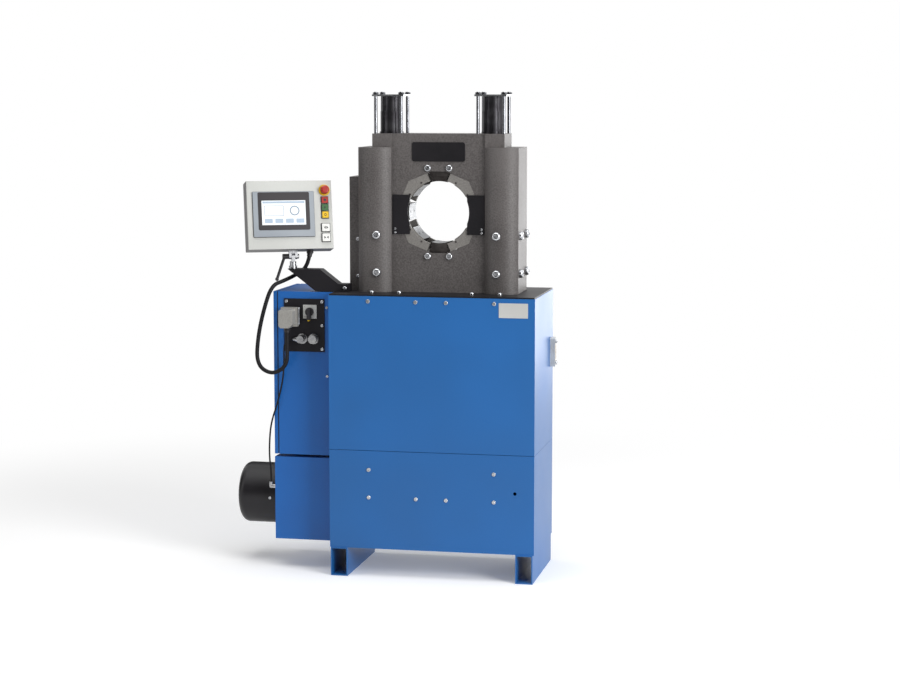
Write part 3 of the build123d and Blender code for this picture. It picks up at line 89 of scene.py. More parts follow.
def blank_material(name):
    """A node material with only its output, and that output's surface socket."""
    material = bpy.data.materials.new(name)
    material.use_nodes = True
    tree = material.node_tree
    tree.nodes.clear()
    output = add(tree, "ShaderNodeOutputMaterial")
    return material, tree, output


def maths(tree, operation, first, second):
    """The result of one operation on two values or sockets."""
    return add(tree, "ShaderNodeMath", {0: first, 1: second}, operation=operation).outputs[0]


def new_object(name, data):
    """An object with the given mesh, curve, lamp or camera, linked into the scene."""
    made = bpy.data.objects.new(name, data)
    bpy.context.scene.collection.objects.link(made)
    return made


print("the cabinet's blue is", [round(c, 3) for c in colour("#1C65AB")[:3]])

# %% [markdown]
# ## One recipe for coated and moulded surfaces
# Powder coat, structure paint and moulded plastic are all dielectrics: coloured underneath, a
# clear gloss on top. They differ in grain size, how deep the grain is and how much the colour
# wanders. So one function takes the real grain width in millimetres and turns it into a noise
# scale, and each finish passes its own numbers. The noise reads object coordinates, which stay
# with a piece when it moves.

# %% Coated surfaces
def ramp(tree, factor, stops):
    """A colour ramp with the given (position, colour) stops."""
    made = add(tree, "ShaderNodeValToRGB", {"Fac": factor})
    made.color_ramp.interpolation = "EASE"
    elements = made.color_ramp.elements
    while len(elements) < len(stops):
        elements.new(0.5)
    for element, (position, value) in zip(elements, stops):
        element.position = position
        element.color = value
    return made.outputs["Color"]


def noise(tree, place, width_mm, detail=2.0, roughness=0.5):
    """Noise whose lumps are about width_mm wide."""
    scale = 1.0 / (width_mm * MM)
    made = add(tree, "ShaderNodeTexNoise",
               {"Vector": place, "Scale": scale, "Detail": detail, "Roughness": roughness})
    return made.outputs["Fac"]


DARK_END, LIGHT_END = 0.35, 0.65        # where on the noise the colour range starts and ends
ROUGHNESS_DRIFT = 0.2                   # the roughness wanders by a fifth either way
DRIFT_MM = 260.0                        # width of the slow changes of colour and gloss


def coated(name, light, dark, roughness, grain_mm, grain_depth_mm, speckle=0.25, ior=1.5):
    """Paint or plastic: light and dark are the ends of its colour range."""
    material, tree, output = blank_material(name)
    place = add(tree, "ShaderNodeTexCoord").outputs["Object"]
    grain = noise(tree, place, grain_mm, detail=3.0)
    drift = noise(tree, place, DRIFT_MM, detail=1.0)
    fine = maths(tree, "MULTIPLY", grain, speckle)
    wide = maths(tree, "MULTIPLY", drift, 1.0 - speckle)
    mixed = maths(tree, "ADD", fine, wide)
    base = ramp(tree, mixed, [(DARK_END, colour(dark)), (LIGHT_END, colour(light))])
    rough = add(tree, "ShaderNodeMapRange",
                {"Value": drift, "From Min": 0.0, "From Max": 1.0,
                 "To Min": roughness * (1 - ROUGHNESS_DRIFT),
                 "To Max": min(1.0, roughness * (1 + ROUGHNESS_DRIFT))}).outputs[0]
    bump = add(tree, "ShaderNodeBump",
               {"Height": grain, "Strength": 1.0, "Distance": grain_depth_mm * MM}).outputs[0]
    shader = add(tree, "ShaderNodeBsdfPrincipled",
                 {"Base Color": base, "Roughness": rough, "Normal": bump, "IOR": ior})
    tree.links.new(shader.outputs[0], output.inputs["Surface"])
    return material


# Powder coat melts to an orange peel about 2 mm across; it is drawn at 5 mm so that it shows.
blue_coat = coated("blue_powder_coat", "#1C65AB", "#1A61A4", 0.36, 5.0, 0.02)
box_blue_coat = coated("blue_powder_coat_of_the_electrical_box", "#1464B4", "#115CA9", 0.36, 5.0,
                       0.02)
# Structure paint is sprayed in coarse spots; its 3 mm spots are drawn at 4.5 mm.
structure_paint = coated("grey_structure_paint", "#5F5B5A", "#474342", 0.5, 4.5, 0.3, speckle=0.6)
black_satin = coated("black_satin_paint", "#1B191D", "#121114", 0.46, 4.0, 0.05, ior=1.33)
black_gloss = coated("black_gloss_paint", "#1F1D20", "#161518", 0.34, 30.0, 0.05, ior=1.4)
light_grey_coat = coated("light_grey_powder_coat", "#C7C8C4", "#BFC0BC", 0.42, 4.0, 0.05)
# The tub's dark grey is partly its own paint and partly painted shade on the panel's sides.
tub_grey_with_painted_shade = coated("dark_grey_enclosure_tub_with_painted_shade", "#514E4E", "#464343", 0.45, 4.0, 0.05)
grey_plastic = coated("grey_moulded_frame", "#9AA1A8", "#8E959D", 0.36, 1.5, 0.02)
bezel_black = coated("black_bezel_film", "#2E2A2D", "#242124", 0.3, 2.0, 0.01)
black_plastic = coated("black_glass_filled_nylon", "#1E1C20", "#121114", 0.48, 1.2, 0.05)
cheek_grey = coated("grey_lacquered_steel_cheek", "#827F7B", "#6F6C69", 0.5, 4.0, 0.08, speckle=0.6)
cast_grey = coated("grey_die_cast_hood", "#A3A19C", "#8D8B87", 0.42, 2.5, 0.12, speckle=0.6)
light_plate_grey = coated("satin_nickel_plate_paint", "#CFCFCB", "#BDBDBA", 0.35, 2.0, 0.03)
red_button = coated("red_polyamide_button", "#B3261C", "#9C1E16", 0.28, 2.0, 0.01)
green_button = coated("green_polyamide_button", "#3A6B3A", "#2F5A30", 0.28, 2.0, 0.01)
yellow_button = coated("yellow_polyamide_button", "#E9BE1A", "#DDB010", 0.28, 2.0, 0.01)
white_button = coated("white_polyamide_button", "#EDEDE9", "#E2E2DE", 0.3, 2.0, 0.01)
rubber = coated("black_pvc_cord_jacket", "#141316", "#0C0B0E", 0.55, 1.5, 0.04, ior=1.33)
seal_rubber = coated("black_foam_seal", "#1C1B1B", "#121212", 0.8, 1.0, 0.2)
dark_marking = coated("dark_printed_marking", "#2B2B2E", "#222225", 0.6, 3.0, 0.01)
print(len(bpy.data.materials), "materials so far")

# %% [markdown]
# ## Bare metal
# Zinc plate, ground steel and blackened tool steel are metals: full metallic, coloured by their
# reflections, with the default index of refraction. What tells them apart is the roughness and
# the fine lines that the grinding wheel or the lathe left. The lines are noise stretched along
# one axis of the piece.

# %% Metals
LINE_STRETCH = 0.02                     # ground or turned lines are fifty times longer than wide
EVEN_GRAIN_MM, STAIN_MM = 8.0, 45.0


def metal(name, light, dark, roughness, line_mm=None, axis=X, depth_mm=0.01, spread=0.3):
    """Metal whose fine lines, line_mm apart, run along one axis; without line_mm it is even."""
    material, tree, output = blank_material(name)
    place = add(tree, "ShaderNodeTexCoord").outputs["Object"]
    stretch = [1.0, 1.0, 1.0]
    if line_mm:
        stretch[axis] = LINE_STRETCH
    mapped = add(tree, "ShaderNodeMapping", {"Vector": place, "Scale": stretch}).outputs[0]
    lines = noise(tree, mapped, line_mm or EVEN_GRAIN_MM, detail=4.0, roughness=0.6)
    stains = noise(tree, place, STAIN_MM, detail=3.0)
    base = ramp(tree, stains, [(0.35, colour(dark)), (0.68, colour(light))])
    rough = add(tree, "ShaderNodeMapRange",
                {"Value": lines, "From Min": 0.3, "From Max": 0.7,
                 "To Min": roughness * (1 - spread), "To Max": roughness * (1 + spread)}).outputs[0]
    bump = add(tree, "ShaderNodeBump",
               {"Height": lines, "Strength": 1.0, "Distance": depth_mm * MM}).outputs[0]
    shader = add(tree, "ShaderNodeBsdfPrincipled",
                 {"Base Color": base, "Metallic": 1.0, "Roughness": rough, "Normal": bump})
    tree.links.new(shader.outputs[0], output.inputs["Surface"])
    return material


bright_zinc = metal("bright_zinc_plate", "#C9CACD", "#AEB0B4", 0.26)
chrome_rod = metal("hard_chromed_rod", "#86878B", "#707175", 0.26, line_mm=0.8, axis=Z)
nickel = metal("nickel_plated_brass", "#BDBDBD", "#9E9EA1", 0.26, line_mm=0.8)
ground_steel = metal("ground_steel_face", "#7E8083", "#686A6D", 0.36, line_mm=1.0, axis=Y)
tool_steel = metal("blackened_tool_steel", "#5C5856", "#454140", 0.42, line_mm=3.0)
turned_black = metal("burnished_cylinder_barrel", "#4B4A4D", "#363538", 0.36, line_mm=1.2, axis=Z)
cast_aluminium = metal("cast_aluminium_body", "#D6D6D3", "#C3C3C0", 0.62, depth_mm=0.08)
mill_steel = metal("zinc_plated_cap_plate", "#C9CACC", "#A9ABAE", 0.3, line_mm=1.5)
print(len(bpy.data.materials), "materials with the metals")

# %% [markdown]
# ## Glass, oil and the lit screen
# The sight glass of the oil gauge takes the amber of the oil behind it, with a glossy face, and
# the screen is a lit panel under cover glass. The screen's own light is a soft emission, weak
# enough that the room still shades it.

# %% Glass and screen
def lit_screen(name, light, dark, strength):
    """A backlit display: pale colour with a slow fade, and a gentle glow of its own."""
    material, tree, output = blank_material(name)
    place = add(tree, "ShaderNodeTexCoord").outputs["Object"]
    fade = noise(tree, place, 160.0)
    base = ramp(tree, fade, [(0.3, colour(dark)), (0.7, colour(light))])
    shader = add(tree, "ShaderNodeBsdfPrincipled",
                 {"Base Color": base, "Roughness": 0.12, "Emission Color": base,
                  "Emission Strength": strength})
    tree.links.new(shader.outputs[0], output.inputs["Surface"])
    return material


screen_white = lit_screen("backlit_display_glass", "#F1F4F6", "#E6EBEF", 0.18)
sight_glass = coated("amber_oil_behind_polycarbonate", "#C79A3C", "#A87A22", 0.08, 20.0, 0.01,
                     ior=1.58)
print("screen and sight glass made")

# %% [markdown]
# ## Giving each solid its finish
# A solid of one finish takes one material. A node that groups several solids, such as the fork,
# its pin and the cable gland, takes a list: each polygon goes to the first rule that its centre
# meets. The rules are plain comparisons of place, worked out from the node's own box.

# %% Finish helpers
def dress(name, *materials, rule=None):
    """Puts materials on a node; rule(centre, normal) gives the slot number of a polygon."""
    mesh = nodes[name].data
    mesh.materials.clear()
    for material in materials:
        mesh.materials.append(material)
    for polygon in mesh.polygons:
        polygon.material_index = rule(polygon.center, polygon.normal) if rule else 0


whole = {
    "cabinet_feet": blue_coat, "cabinet_shell": blue_coat, "front_covers": blue_coat,
    "cabinet_top_plate": black_satin, "sheet_metal_screws": bright_zinc, "head_bolts": bright_zinc,
    "oil_tank": black_satin, "electrical_box": box_blue_coat, "door_seal": seal_rubber,
    "box_door": box_blue_coat, "socket_plate": black_satin, "connector_latch": bright_zinc,
    "switch_plate": light_plate_grey, "round_sockets": nickel, "sensor_plug": nickel,
    "pump_housing": box_blue_coat, "motor_cowl": black_gloss, "motor_stator": black_satin,
    "motor_shaft": ground_steel, "hydraulic_pump": cast_aluminium,
    "head_front_plate": structure_paint, "head_rear_plate": structure_paint,
    "head_columns": structure_paint, "guard_plates": black_satin,
    "column_covers": structure_paint, "side_box": structure_paint,
    "upper_cylinders": turned_black, "lower_cylinders": turned_black,
    "upper_pistons": chrome_rod, "lower_pistons": chrome_rod, "panel_arm": black_satin,
    "panel_post": bright_zinc, "hmi_screen": screen_white,
    "clamp_lever": black_plastic, "emergency_stop": red_button, "stop_push_button": red_button,
    "start_push_button": green_button, "mode_push_button": yellow_button,
    "open_push_button": white_button, "close_push_button": white_button,
    "panel_cord": rubber, "sensor_cord": rubber}
for node_name, material in whole.items():
    dress(node_name, material)
print(len(whole), "nodes of one finish;", len(nodes) - len(whole), "left")

# %% [markdown]
# ## The nodes of several finishes
# The dies are ground steel shoes on blackened carriers, so their working face shines while the
# block behind stays dark. The press bore is 214 mm wide between the open dies; whatever lies
# within the dies' thickness of that circle is die.

# %% Dies, yokes and slides
BORE_Z = 1.262
BORE_RADIUS = 0.107
DIE_DEPTH = 0.0182
CHEEK_FACE_Y = 0.0524
FACES_BORE = 0.7                        # cosine of the widest turn away from the bore's axis


def die_rule(centre, normal):
    """Slot 0 for the working face, which looks at the bore's axis; slot 1 for all the rest."""
    across, up = centre.x, centre.z - BORE_Z
    radius = math.hypot(across, up)
    looks_in = -(normal.x * across + normal.z * up) / radius
    return 0 if radius < BORE_RADIUS + DIE_DEPTH and looks_in > FACES_BORE else 1


def slide_rule(centre, normal):
    """As die_rule, and slot 2 for the two lacquered cheeks outside the die pack."""
    return 2 if abs(centre.y) > CHEEK_FACE_Y else die_rule(centre, normal)


for node_name in ("upper_press_yoke", "lower_press_yoke", "right_slide", "left_slide"):
    dress(node_name, ground_steel, tool_steel, rule=die_rule)
for node_name in ("upper_right_slide", "upper_left_slide",
                  "lower_left_slide", "lower_right_slide"):
    dress(node_name, ground_steel, tool_steel, cheek_grey, rule=slide_rule)
print("dies dressed")

# %% Plates, gauge, cages, panel and plugs
def split(limit, axis, above=1, below=0):
    """A rule that compares one coordinate of a polygon's centre with a limit in metres."""
    return lambda centre, normal: above if centre[axis] > limit else below


PLATES_PART_Z = 1.2                     # the nameplate is below this height, the badge above
GLASS_HALF_HEIGHT, GLASS_HALF_WIDTH = 0.0265, 0.00695
GLASS_FROM_BACK, BOLT_HEAD = 0.0098, 0.0059
dress("blank_plates", light_plate_grey, black_gloss, rule=split(PLATES_PART_Z, Z))
gauge_low, gauge_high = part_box("oil_level_gauge")
gauge_middle = (gauge_low + gauge_high) / 2


def gauge_rule(centre, normal):
    """Slot 1 for the sight glass, slot 2 for the two banjo bolts."""
    across, up = abs(centre.y - gauge_middle.y), abs(centre.z - gauge_middle.z)
    in_front = centre.x > gauge_low.x + GLASS_FROM_BACK
    if up < GLASS_HALF_HEIGHT and across < GLASS_HALF_WIDTH and in_front:
        return 1
    return 2 if centre.x > gauge_high.x - BOLT_HEAD else 0


dress("oil_level_gauge", cast_aluminium, sight_glass, bright_zinc, rule=gauge_rule)


def cage_rule(centre, normal):
    """Slot 1 for the cap plates on top, slot 0 for the tie rods."""
    return 1 if CAP_PLATE_LOW < centre.z < CAP_PLATE_HIGH else 0


def chassis_rule(centre, normal):
    """Slot 0 for the mounting plate, slots 1 and 2 for the upper and the lower units."""
    if centre.x > CHASSIS_FACE_X:
        return 0
    return 1 if centre.z > UNITS_PART_Z else 2


CAP_PLATE_LOW, CAP_PLATE_HIGH = 1.6596, 1.6664
CHASSIS_FACE_X, UNITS_PART_Z = -0.3655, 0.75
dress("tie_rod_cages", chrome_rod, mill_steel, rule=cage_rule)
dress("electrical_chassis", mill_steel, light_grey_coat, black_plastic, rule=chassis_rule)
print("plates and gauge dressed")

# %% [markdown]
# ## The tilted operator panel
# The panel is turned towards the operator and leans back. Its frame is worked out once, as a
# matrix, from the pivot, the turn and the tilt; everything drawn on the panel's face is then
# placed in plain left-right and up-down millimetres.

# %% The panel's own frame
PANEL_PIVOT = Vector((-0.518, -0.078, 1.103))
PANEL_TURN = math.radians(25.0)
PANEL_TILT = math.radians(12.0)
PANEL_LEFT, PANEL_TOP, PANEL_FACE = -162.0, 260.0, -45.0
panel_frame = (Matrix.Translation(PANEL_PIVOT) @ Matrix.Rotation(PANEL_TURN, 4, "Z")
               @ Matrix.Rotation(-PANEL_TILT, 4, "X"))
panel_inverse = panel_frame.inverted()


def on_panel(right_mm, drop_mm, proud_mm=0.0):
    """A point measured from the panel's top left corner, standing proud_mm off its face."""
    local = Vector((PANEL_LEFT + right_mm, PANEL_FACE - proud_mm, PANEL_TOP - drop_mm)) * MM
    return panel_frame @ local


def panel_depth(centre):
    """How far a point stands off the panel's face, in millimetres."""
    return PANEL_FACE - (panel_inverse @ centre).y / MM


def enclosure_rule(centre, normal):
    """Slot 0 for the light front plate, slot 1 for the tub, its dark grey partly painted shade."""
    return 0 if panel_depth(centre) > -FRONT_PLATE_MM else 1


def collar_rule(centre, normal):
    """Slot 1 for the emergency stop's disc, slot 0 for small collars, slot 2 for large ones."""
    if centre.z > STOP_DISC_Z:
        return 1
    return 0 if centre.z > LARGE_COLLARS_Z else 2


FRONT_PLATE_MM = 2.0
STOP_DISC_Z, LARGE_COLLARS_Z = 1.3125, 1.23
PANEL_GLAND_X = -0.485                  # right of this is the cable gland, left of it the fork
KNOB_POINTER_Z = 0.887                  # the pointer is below the knob
CONNECTOR_GLAND_Z = 0.8612              # the gland is below the hood
dress("panel_enclosure", light_grey_coat, tub_grey_with_painted_shade, rule=enclosure_rule)
dress("hmi_frame", grey_plastic)
dress("button_collars", black_plastic, yellow_button, bezel_black, rule=collar_rule)
dress("panel_bracket", bright_zinc, black_plastic, rule=split(PANEL_GLAND_X, X))
dress("main_switch_knob", black_plastic, yellow_button,
      rule=split(KNOB_POINTER_Z, Z, above=0, below=1))
dress("cable_connector", cast_grey, black_plastic,
      rule=split(CONNECTOR_GLAND_Z, Z, above=0, below=1))
undressed = [n for n, o in nodes.items() if not o.data.materials or not o.data.materials[0]]
print("undressed nodes:", undressed)

# %% [markdown]
# ## Thin films and printed marks
# A display bezel is a black film on the back of the glass, and the signs on the buttons are
# printed. Both are flat shapes, some with a window, a few tenths of a millimetre thick. A filled
# 2D curve makes such a shape from its outlines and cuts the window by itself, which a mesh face
# can't do; the curve is then turned into a mesh and set on its face. Each rides on the body of
# the button or plate that it is printed on, so it moves with it.

# %% Film maker
def rounded_box(left, right, top, bottom, radius, steps=6):
    """An outline of a box with rounded corners, in millimetres, measured right and down."""
    centres = [(right - radius, top + radius, -90.0), (right - radius, bottom - radius, 0.0),
               (left + radius, bottom - radius, 90.0), (left + radius, top + radius, 180.0)]
    outline = []
    for across, down, start in centres:
        for step in range(steps + 1):
            angle = math.radians(start + 90.0 * step / steps)
            outline.append((across + radius * math.cos(angle), down + radius * math.sin(angle)))
    return outline


def ring_points(across, down, radius, steps=28):
    """An outline of a circle, in millimetres."""
    turns = [math.tau * step / steps for step in range(steps)]
    return [(across + radius * math.cos(t), down + radius * math.sin(t)) for t in turns]


def film(name, outlines, place, thickness_mm, material, body):
    """A flat piece on the face that place(right, down, proud) describes; it rides on body."""
    data = bpy.data.curves.new(name, "CURVE")
    data.dimensions = "2D"
    data.fill_mode = "BOTH"
    data.extrude = thickness_mm / 2
    for outline in outlines:
        spline = data.splines.new("POLY")
        spline.points.add(len(outline) - 1)
        for point, (across, down) in zip(spline.points, outline):
            point.co = (across, down, 0.0, 1.0)
        spline.use_cyclic_u = True
    drawn = bpy.data.objects.new(name + "_drawn", data)
    mesh = bpy.data.meshes.new_from_object(drawn)
    mesh.name = name
    bpy.data.objects.remove(drawn)
    for vertex in mesh.vertices:
        across, down, depth = vertex.co
        vertex.co = place(across, down, depth + thickness_mm / 2)
    mesh.flip_normals()
    mesh.materials.clear()
    mesh.materials.append(material)
    piece = new_object(name, mesh)
    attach(piece, body)


def on_face(proud_mm):
    """Places a film on the panel at a set height off its front plate."""
    return lambda right, drop, depth: on_panel(right, drop, proud_mm + depth)


print("film maker ready")

# %% Display bezel, painted shade ring and picture
GLASS_PROUD, BUTTON_PROUD = 6.0, 8.5    # how far the glass and the buttons stand off, mm
BEZEL_MM, SHADE_RING_MM, PICTURE_MM = 0.4, 1.6, 0.15


def on_screen(name, outlines, material):
    """A thin part of the picture on the display's glass."""
    film(name, outlines, on_face(GLASS_PROUD), PICTURE_MM, material, "operator_panel")


film("display_bezel",
     [rounded_box(38.0, 219.0, 41.0, 174.0, 5.0), rounded_box(51.0, 205.0, 70.0, 156.0, 1.0)],
     on_face(GLASS_PROUD), BEZEL_MM, bezel_black, "operator_panel")
# The dark ring round the display's frame is painted shade: it stands for the shadowed gap between
# the frame and the front plate.
film("display_painted_shade_ring",
     [rounded_box(19.6, 236.4, 37.6, 198.4, 3.0), rounded_box(21.0, 235.0, 39.0, 197.0, 2.0)],
     on_face(0.0), SHADE_RING_MM, seal_rubber, "operator_panel")
tile_blue = coated("pale_blue_screen_tile", "#AFC0D2", "#A6B8CC", 0.3, 40.0, 0.0)
tile_slate = coated("slate_screen_tile", "#76889C", "#6E8195", 0.3, 40.0, 0.0)
on_screen("screen_header", [rounded_box(54.0, 202.0, 73.0, 80.0, 1.5)], tile_blue)
on_screen("screen_value_field",
          [rounded_box(60.0, 128.0, 88.0, 124.0, 3.0), rounded_box(61.2, 126.8, 89.2, 122.8, 2.2)],
          tile_slate)
on_screen("screen_dial", [ring_points(166.0, 106.0, 17.0), ring_points(166.0, 106.0, 13.5)],
          tile_slate)
TILE_WIDTH = 28.0
for number, left in enumerate((60.0, 97.0, 134.0, 171.0)):
    on_screen("screen_tile_%d" % (number + 1),
              [rounded_box(left, left + TILE_WIDTH, 134.0, 149.0, 2.5)], tile_blue)
print("display drawn")

# %% Signs on the buttons and on the main switch
SIGN = 4.0                              # half the width of a sign, mm
SIGN_MM = 0.2                           # thickness of a printed sign
BUTTON_COLUMN = 274.0                   # from the panel's left edge to the buttons' middle, mm
signs = {
    "stop": (70.0, "stop_button", [rounded_box(-SIGN, SIGN, -SIGN, SIGN, 0.5)]),
    "start": (96.0, "start_button", [[(-SIGN, -SIGN), (SIGN, 0.0), (-SIGN, SIGN)]]),
    "mode": (122.0, "mode_button", [ring_points(0.0, 0.0, 4.5), ring_points(0.0, 0.0, 3.0)]),
    "open": (167.0, "open_button", [[(-1.5, -5.0), (-1.5, 5.0), (-7.5, 0.0)],
                                    [(1.5, -5.0), (7.5, 0.0), (1.5, 5.0)]]),
    "close": (202.0, "close_button", [[(-7.5, -5.0), (-1.5, 0.0), (-7.5, 5.0)],
                                      [(7.5, -5.0), (7.5, 5.0), (1.5, 0.0)]])}
for sign_name, (drop, body, outlines) in signs.items():
    moved = [[(BUTTON_COLUMN + across, drop + down) for across, down in outline]
             for outline in outlines]
    film(sign_name + "_sign", moved, on_face(BUTTON_PROUD), SIGN_MM, dark_marking, body)

plate_low, plate_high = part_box("switch_plate")


def on_switch_plate(right, down, depth):
    """A point on the switch plate, measured in millimetres from its top left corner."""
    return (plate_low.x + right * MM, plate_low.y - depth * MM, plate_high.z - down * MM)


film("switch_mark_off", [ring_points(6.0, 42.0, 2.6), ring_points(6.0, 42.0, 1.8)],
     on_switch_plate, SIGN_MM, dark_marking, "machine")
film("switch_mark_on", [rounded_box(5.5, 6.5, 3.5, 9.0, 0.4)],
     on_switch_plate, SIGN_MM, dark_marking, "machine")
print(len(signs) + 2, "signs printed")

# %% [markdown]
# ## Screws in the die cheeks
# Each lacquered cheek is held to its slide by two countersunk screws close to the bore. A screw
# head is a low disc with a hexagonal socket. It is made of rings of points about one axis, each
# joined to the next by a band of faces; the last two rings are the rim and the floor of the
# six-sided socket.

# %% Cheek screws
SCREW_SIDES = 24


def bridge(mesh, outer, inner):
    """A band of faces between two rings of as many points."""
    for k in range(SCREW_SIDES):
        after = (k + 1) % SCREW_SIDES
        mesh.faces.new((outer[k], outer[after], inner[after], inner[k]))


def socket_screw(name, centre, radius, proud, material, body):
    """A flush screw head that looks along -Y, with a hexagonal socket half as wide."""
    screw = bmesh.new()
    turns = [math.tau * k / SCREW_SIDES for k in range(SCREW_SIDES)]
    rings = []
    for ring_radius, height in ((radius, 0.0), (radius * 0.92, proud), (radius * 0.5, proud)):
        rings.append([screw.verts.new((ring_radius * math.cos(turn), -height,
                                       ring_radius * math.sin(turn))) for turn in turns])
    hexagon = []
    for turn in turns:                  # the socket's circle, pulled onto six flats
        flat = math.cos(math.pi / 6) / math.cos((turn % (math.pi / 3)) - math.pi / 6)
        hexagon.append((radius * 0.5 * flat * math.cos(turn),
                        radius * 0.5 * flat * math.sin(turn)))
    for height in (proud, 0.1 * proud):
        rings.append([screw.verts.new((x, -height, z)) for x, z in hexagon])
    for outer, inner in zip(rings, rings[1:]):
        bridge(screw, outer, inner)
    screw.faces.new(rings[-1])
    screw.faces.new(list(reversed(rings[0])))
    bmesh.ops.recalc_face_normals(screw, faces=screw.faces)
    mesh = bpy.data.meshes.new(name)
    screw.to_mesh(mesh)
    screw.free()
    mesh.transform(Matrix.Translation(centre))
    mesh.materials.append(material)
    piece = new_object(name, mesh)
    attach(piece, body)


CHEEK_FRONT = -0.065
SCREW_CIRCLE, SCREW_SPREAD = 0.118, 14.0    # metres from the bore's axis, degrees off the middle
CHEEK_SCREW_RADIUS, CHEEK_SCREW_PROUD = 0.0035, 0.0005
diagonals = {"upper_right_die_slide": 45.0, "upper_left_die_slide": 135.0,
             "lower_left_die_slide": 225.0, "lower_right_die_slide": 315.0}
for body, middle in diagonals.items():
    for side, offset in (("a", -SCREW_SPREAD), ("b", SCREW_SPREAD)):
        turn = math.radians(middle + offset)
        spot = (SCREW_CIRCLE * math.cos(turn), CHEEK_FRONT, BORE_Z + SCREW_CIRCLE * math.sin(turn))
        socket_screw(body.replace("die_slide", "cheek_screw_") + side, spot,
                     CHEEK_SCREW_RADIUS, CHEEK_SCREW_PROUD, tool_steel, body)
print(2 * len(diagonals), "cheek screws")

# %% Screws beside the cabinet
# Two cap screws at the box's right edge hold it to the cabinet.
box_low, box_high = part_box("electrical_box")
FIXING_INSET, FIXING_HEIGHTS = 0.027, (0.929, 0.688)
FIXING_RADIUS, FIXING_PROUD = 0.0045, 0.004
for number, height in enumerate(FIXING_HEIGHTS):
    socket_screw("box_fixing_screw_%d" % (number + 1),
                 (box_high.x - FIXING_INSET, box_low.y, height),
                 FIXING_RADIUS, FIXING_PROUD, bright_zinc, "machine")
print("electrical box front at", round(box_low.y, 4), "and right edge at", round(box_high.x, 4))

# %% [markdown]
# ## The two cords
# A thick cord brings power and signals from the plug on the electrical box to the operator
# panel, and a thin one joins the round plug to the pump housing. Each is a fixed length of PVC
# jacket that hangs from its two ends. A NURBS curve led by a few given points gives an even
# bend; the round section is its bevel. The thick one crosses the panel's tilt joint, and it is
# turned into a mesh.

# %% Cord maker
def cord_curve(name, points_mm, diameter_mm, material):
    """A round cord on one NURBS spline of order three that ends on its end points."""
    data = bpy.data.curves.new(name, "CURVE")
    data.dimensions = "3D"
    data.resolution_u = 10
    data.bevel_depth = diameter_mm * MM / 2
    data.bevel_resolution = 5
    data.use_fill_caps = True
    spline = data.splines.new("NURBS")
    spline.points.add(len(points_mm) - 1)
    for point, place in zip(spline.points, points_mm):
        point.co = (*(Vector(place) * MM), 1.0)
    spline.order_u = 3
    spline.use_endpoint_u = True
    data.materials.append(material)
    return new_object(name, data)


def centreline(curve_object):
    """Points along the middle of a cord, read from the same spline without its bevel."""
    data = curve_object.data
    depth, data.bevel_depth = data.bevel_depth, 0.0
    data.use_fill_caps = False
    line = bpy.data.meshes.new_from_object(curve_object)
    points = [v.co.copy() for v in line.vertices]
    bpy.data.meshes.remove(line)
    data.bevel_depth = depth
    data.use_fill_caps = True
    return points


def line_length(points):
    """The length of a line through the given points, in metres."""
    return sum((b - a).length for a, b in zip(points, points[1:]))


GLAND_PLACE = Vector((63.0, 14.0, 14.0)) * MM
GLAND_LEAN = math.radians(14.0)
GLAND_REACH, STRAIGHT_RUN = 14.0 * MM, 54.0 * MM
gland_frame = (panel_frame @ Matrix.Translation(GLAND_PLACE)
               @ Matrix.Rotation(GLAND_LEAN, 4, "Y"))
panel_exit = gland_frame @ Vector((0, 0, -GLAND_REACH))
panel_exit_next = gland_frame @ Vector((0, 0, -STRAIGHT_RUN))
panel_route = [
    tuple(panel_exit / MM), tuple(panel_exit_next / MM), (-516.0, -48.0, 1036.0),
    (-549.0, -86.0, 1018.0), (-583.0, -122.0, 1004.0), (-606.0, -138.0, 930.0),
    (-628.0, -145.0, 830.0), (-634.0, -150.0, 727.0), (-575.5, -157.0, 693.0),
    (-519.0, -164.0, 727.0), (-517.0, -164.0, 790.0), (-517.0, -164.0, 845.0)]
sensor_route = [
    (-501.0, -143.0, 819.0), (-518.0, -143.0, 819.0), (-533.0, -142.0, 803.0),
    (-537.0, -139.0, 774.0), (-538.0, -132.0, 735.0), (-546.0, -126.0, 665.0),
    (-566.0, -124.0, 590.0), (-590.0, -124.0, 520.0), (-597.0, -123.0, 455.0),
    (-598.0, -122.0, 395.0), (-598.0, -104.0, 345.0), (-598.0, -104.0, 305.0)]
print(len(panel_route), "and", len(sensor_route), "points lead the cords")

# %% The cords in place
thick = cord_curve("panel_cable_curve", panel_route, 14.0, rubber)
thick_line = centreline(thick)
thick_mesh = bpy.data.meshes.new_from_object(thick)
thick_mesh.name = "panel_cable"
bpy.data.objects.remove(thick)
panel_cable = new_object("panel_cable", thick_mesh)
panel_cable.data.materials.clear()
panel_cable.data.materials.append(rubber)
for polygon in panel_cable.data.polygons:
    polygon.use_smooth = True
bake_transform(panel_cable)
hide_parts("panel_cord")

sensor_cable = cord_curve("sensor_cable", sensor_route, 6.0, rubber)
sensor_line = centreline(sensor_cable)
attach(sensor_cable, "machine")
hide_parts("sensor_cord")
print("cord lengths", round(line_length(thick_line), 3), round(line_length(sensor_line), 3))

# %% [markdown]
# ## The studio
# A pale floor and a white surround, a weak lamp at the front left and a large strong one on the
# right, which pales the machine's right-hand sides. One more hangs above, and one stands low
# behind on the right for the edges. The surround is white only for rays that go straight to the
# camera or come off gloss and glass; the light that falls on the object stays at a plain level.

# %% Floor and surround
def surround_factor(tree):
    """One for rays that see the backdrop: camera, glossy or transmission rays."""
    path = add(tree, "ShaderNodeLightPath")
    seen = maths(tree, "MAXIMUM", path.outputs["Is Camera Ray"], path.outputs["Is Glossy Ray"])
    return maths(tree, "MAXIMUM", seen, path.outputs["Is Transmission Ray"])


